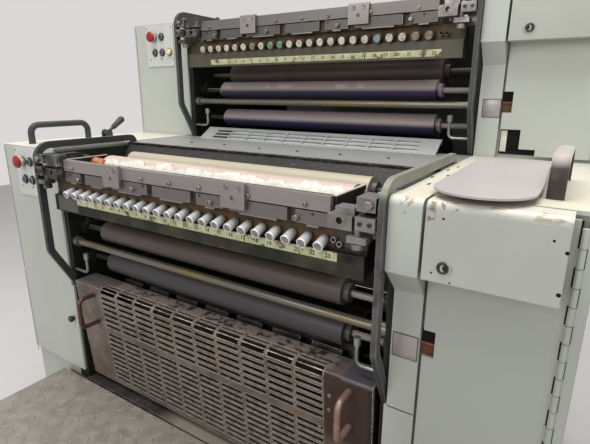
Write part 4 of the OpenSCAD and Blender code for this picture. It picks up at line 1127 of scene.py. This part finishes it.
def dress_doors():
    """Locks, hinge screws, bare plates and latch rods of both right cabinets."""
    for unit, word in enumerate(UNIT_WORDS):
        x = LOCK_XS[unit]
        door = DOOR_BODIES[unit]
        add_turned(word + "_lock_ring", unit, [(x, 6, LOCK_Z)], LOCK_RING, BLACK_PLASTIC, door, 28)
        add_turned(word + "_lock_core", unit, [(x, 7, LOCK_Z)], LOCK_BARREL, LOCK_CORE, door)
        hinge_screws(unit, word)
        bare_plate(unit, word)
        add_turned(word + "_latch_rod", unit, [LATCH_PLACE], LATCH_ROD, LATCH, sides=16,
                   axis=RIGHTWARD)


# Dark insides of the finger cuts and of the rear door's stepped corner: sheets of painted shade
CUT = ((525.5, 547), (-171, -126))
CUT_DEPTH = (58.6, 60.2)
CUT_SPANS = ((CUT,), (CUT, ((530, 606), (-267.5, -255)), ((530, 572.5), (-256, -211))))
LATCH_SPANS = ((531.5, 545), (56.2, 58.4), (-262, -213))

# Oval marks on top of the near column
OVALS = ((495, 129), (480, 199), (483, 296), (490, 347), (500, 230))
OVAL_HALF = (2.6, 7.5)

# Seams of the left cabinets and a knob on the near one
SEAM_X = (-729.2, -727.8)
SEAM_DEPTH = (51.5, 52.4)
SEAM_HEIGHTS = (((-284, 92), (-580, -296)), ((-270, 92),))
CABINET_KNOB = ((6, 0), (6, 5), (9, 7), (9.5, 12), (7, 15), (0, 16))


def dress_openings():
    """The painted shade inside the door cuts, the latch plate, and marks of the cabinets."""
    for unit, word in enumerate(UNIT_WORDS):
        add_blocks(word + "_cut_back", unit, [(x, CUT_DEPTH, z) for x, z in CUT_SPANS[unit]],
                   CUT_DARK)
    add_blocks("far_latch_plate", 1, [LATCH_SPANS], LATCH_PLATE, 0.6)
    ovals = Shape(0)
    wide, long = OVAL_HALF
    for x, y in OVALS:
        around = [(x + wide * math.cos(t), y + long * math.sin(t))
                  for t in [math.radians(a) for a in range(0, 360, 20)]]
        ovals.prism(around, TOP_FACE - 0.4, TOP_FACE + 0.4, lambda a, b, d: (a, b, d))
    add("column_top_ovals", ovals, DARK_STEEL)
    for unit, name in enumerate(("left_cabinet_seam", "rear_left_cabinet_seam")):
        add_blocks(name, unit, [(SEAM_X, SEAM_DEPTH, z) for z in SEAM_HEIGHTS[unit]], PLATE_EDGE)
    add_turned("left_cabinet_knob", 0, [(-490, 52.5, -395)], CABINET_KNOB, BLACK_PLASTIC)


# Dots on the near box as (x, z, radius), and dark gaps of the right cabinets; the gaps beside the
# hinges are painted shade
BOX_DOTS = ((690.7, 68.1, 1.8), (706.7, 54.9, 2.6), (705.1, -1.6, 3.0),
            (554.2, 75.8, 1.8), (543.8, -6.5, 1.6), (571.0, -16.7, 1.4))
BOX_FACE = 6.2
GAP_DEPTH = (51.6, 52.3)
HINGE_GAP = (716.8, 719.2)
COLUMN_SEAM = ((476, 523), GAP_DEPTH, (-291.7, -290.1))


def dress_marks():
    """Small dark dots on the near box, painted shade in the gaps beside the hinges, and the
    column's seam.
    """
    dots = Shape(0)
    for x, z, radius in BOX_DOTS:
        dots.turned((x, BOX_FACE, z), FRONT, ((radius, 0), (radius, 0.3), (0, 0.35)), 10)
    add("box_dots", dots, CUT_DARK, "front_door")
    add_blocks("near_dark_gaps", 0, [(HINGE_GAP, GAP_DEPTH, (-559, 88)), COLUMN_SEAM], CUT_DARK)
    add_blocks("rear_dark_gap", 1, [(HINGE_GAP, GAP_DEPTH, (-269, 88))], CUT_DARK)


# Slope of the sheet behind the rear step, as depths and heights of the far unit
STEP_LOW = (8.4, -279.4)
STEP_HIGH = (57.5, -248.7)
STEP_THICK = (1, -1.6)
STEP_X = (-276, 392)


def dress_step():
    """The grey sheet seen through the slots of the rear step, open in the leftmost bay."""
    sheet = Shape(1)
    (y0, z0), (y1, z1), (dy, dz) = STEP_LOW, STEP_HIGH, STEP_THICK
    sheet.along_x([(y0, z0), (y1, z1), (y1 + dy, z1 + dz), (y0 + dy, z0 + dz)], *STEP_X)
    add("step_inner_sheet", sheet, STEP_INNER)


# Button panels, in millimetres of a unit
BUTTON_X = (-630.5, -594.3, -558.1)
BUTTON_Z = (56, 5)
BUTTON_RADIUS = 9.4
PANEL_SCREWS = ((-655, -16), (-600, -16), (-544, -16), (-664, 86), (-546, 86))
STOP_HEAD = ((13.4, 13), (17.4, 16), (17.4, 20), (15, 23), (9, 24.4), (0, 24.8))
BUTTON_RING = ((9.8, 0), (9.8, 3.2), (12.0, 3.6), (13.0, 2.6), (13.0, 0))
LENS_RING = ((9.8, 0), (9.8, 3.6), (12.2, 4.2), (13.2, 3.0), (13.2, 0))


def button(out):
    """Profile of a push button that stands out by a distance, with a rounded edge."""
    r = BUTTON_RADIUS
    return ((r, 0), (r, out - 1.4), (r - 1.4, out), (r - 3.0, out + 0.3), (0, out - 0.3))


def dress_panels():
    """Push buttons, a lamp, their rings and the screws of the two panels."""
    left, middle, right = BUTTON_X
    high, low = BUTTON_Z
    caps = (("_stop_caps", [(left, high)], STOP_HEAD, RED_CAP, 32),
            ("_start_caps", [(middle, high)], button(7.4), GREEN_CAP, 28),
            ("_slate_caps", [(left, low), (middle, low)], button(7.4), BLUE_CAP, 28),
            ("_lamp_caps", [(right, low)], button(8.0), LAMP_LENS, 28),
            ("_button_rings", [(left, high), (middle, high), (left, low), (middle, low)],
             BUTTON_RING, BLACK_PLASTIC, 32),
            ("_lamp_ring", [(right, low)], LENS_RING, LAMP_RING, 32))
    for unit, word in enumerate(UNIT_WORDS):
        for name, places, profile, material, sides in caps:
            add_turned(word + name, unit, [(x, PANEL_FACE, z) for x, z in places], profile,
                       material, sides=sides)
        spots = [at(unit, x, PANEL_FACE, z) for x, z in PANEL_SCREWS]
        screws(word + "_panel_screws", spots, SMALL, PAINTED_SCREW)


# Guard: places and heights of its screws, in millimetres of the near unit
GUARD_FIXINGS = (
    ("guard_band_rivets", SMALL, ((116, -362), (116, -379), (-181, -370), (-119, -364))),
    ("guard_side_screws", PAN, ((365, -310), (366, -340), (348, -365), (349, -384), (-372, -341))))


def dress_guard():
    """Rivets and screws on the leaning front of the guard."""
    facing = (0, -math.cos(GUARD_LEAN), math.sin(GUARD_LEAN))
    edge_y, edge_z = GUARD_EDGE
    for name, kind, places in GUARD_FIXINGS:
        spots = [at(0, x, edge_y + (z - edge_z) * math.tan(GUARD_LEAN), z) for x, z in places]
        screws(name, spots, kind, SCREW_STEEL, "guard", facing)


# Footboard, in millimetres of the near unit
TREAD_LOW = (-562, -384)
TREAD_HIGH = (730, 40)
TREAD_TOP = -590
LUG_PITCH = 0.027
LUG_HALF = (10, 2.6, 1.3)


def dress_tread():
    """The lugs of the chequered plate."""
    (x0, y0), (x1, y1) = TREAD_LOW, TREAD_HIGH
    middle = at(0, (x0 + x1) / 2, (y0 + y1) / 2, TREAD_TOP)
    long = (x1 - x0) * MM
    wide = (y1 - y0) * MM
    values = {"Middle": middle, "Length": long, "Width": wide,
              "Columns": int(long / LUG_PITCH) + 1, "Rows": int(wide / LUG_PITCH) + 1,
              "Lug": Vector(LUG_HALF) * MM, "Metal": TREAD_LUG}
    grow("tread_lugs", LUGS, [middle], values, "press")


# Covers between the units, in millimetres of a unit
DECK_DOTS = ((78, 378), (200, 381), (322, 389), (-39, 371), (-177, 387), (-300, 380), (440, 384))
DECK_ENDS = (-470, 466)
DECK_EDGE_Y = 286


def dress_covers():
    """Screws of the covers, and the torn rubber along the edge of the near one."""
    screws("deck_screws", in_units([(x, y, TOP_FACE) for x, y in DECK_DOTS]), PAN, DARK_STEEL,
           way=UPWARD)
    rng = random.Random(7)
    rubber = Shape()
    x, end = DECK_ENDS
    while x < end:
        step = rng.uniform(8, 26)
        wide = rng.uniform(3, 9)
        rubber.block((x, min(x + step, end + 6)), (DECK_EDGE_Y - wide / 2, DECK_EDGE_Y + wide),
                     (TOP_FACE - 0.4, TOP_FACE + 1.2), 0.4)
        x += step - 0.8
    add("deck_edge_rubber", rubber, EDGE_RUBBER)


# Ink in the troughs, in millimetres of a unit
FOUNTAIN = (140, 42, 40)
SKIN_START = -340
SKIN_LENGTH = 690
SKIN_ROWS = 7
SKIN_COLUMNS = 150
SKIN_TURNS = (12, 61)
LUMP_PLACE = (-368, 100, 72)
LUMP_HALF = (17, 15)
LUMP_RINGS = 7
LUMP_SIDES = 10


def join_loops(shape, loops):
    """Faces between loops of corners, and one over each end."""
    sides = len(loops[0])
    for here, after in zip(loops, loops[1:]):
        for k in range(sides):
            j = (k + 1) % sides
            shape.mesh.faces.new((here[k], here[j], after[j], after[k]))
    shape.mesh.faces.new(loops[0])
    shape.mesh.faces.new(loops[-1])


def lumpy_bead(name, unit, line, seed):
    """An uneven bead of dried ink; line holds (x, y, z, half depth, half height)."""
    rng = random.Random(seed)
    shape = Shape(unit)
    loops = []
    for x, y, z, deep, high in line:
        loop = []
        for k in range(LUMP_SIDES):
            turn = 2 * math.pi * k / LUMP_SIDES
            swell = rng.uniform(0.55, 1.3)
            loop.append(shape.vertex((x + rng.uniform(-1.5, 1.5),
                                      y + deep * swell * math.cos(turn),
                                      z + high * swell * math.sin(turn))))
        loops.append(loop)
    join_loops(shape, loops)
    add(name, shape, INK_LUMP, crease=60)


def skin_point(x, turn, off):
    """A place over the front of the fountain roller, off its surface."""
    y, z, r = FOUNTAIN
    turn = math.radians(turn)
    return (x, y - (r + off) * math.cos(turn), z + (r + off) * math.sin(turn))


def ink_skin(name, unit):
    """The torn, crumpled skin of dried ink that hangs over the front of the roller."""
    rng = random.Random(41 + unit)
    shape = Shape(unit)
    loops = []
    low, high = SKIN_TURNS
    for k in range(SKIN_COLUMNS):
        x = SKIN_START + SKIN_LENGTH * k / (SKIN_COLUMNS - 1)
        top = high - 22 * noise.noise((x * 0.02, 3 + unit, 0)) - rng.uniform(0, 10)
        turns = [low + (top - low) * r / (SKIN_ROWS - 1) for r in range(SKIN_ROWS)]
        off = [1.6 + 4.6 * abs(noise.noise((x * 0.09, t * 0.09, unit)))
               + 1.2 * noise.noise((x * 0.3, t * 0.3, 7 + unit)) for t in turns]
        outer = [shape.vertex(skin_point(x, t, o + 1.0)) for t, o in zip(turns, off)]
        inner = [shape.vertex(skin_point(x, t, o)) for t, o in zip(turns, off)]
        loops.append(outer + inner[::-1])
    join_loops(shape, loops)
    add(name, shape, INK_SKIN, crease=70)


def dress_ink():
    """The skin of dried ink over each fountain roller and the lump at its left end."""
    x, y, z = LUMP_PLACE
    deep, high = LUMP_HALF
    for unit, word in enumerate(UNIT_WORDS):
        ink_skin(word + "_ink_skin", unit)
        rng = random.Random(11 + unit)
        line = [(x + 5 * k, y + rng.uniform(-3, 3), z + rng.uniform(-3, 3) - 2 * k,
                 deep - abs(k - 2) * 1.6, high - abs(k - 2) * 1.5) for k in range(LUMP_RINGS)]
        lumpy_bead(word + "_ink_lump", unit, line, 31 + unit)


dress_nodes()
make_camera()
make_stage()
dress_keys()
dress_bars()
dress_mounts()
dress_doors()
dress_openings()
dress_marks()
dress_step()
dress_panels()
dress_guard()
dress_tread()
dress_covers()
dress_ink()
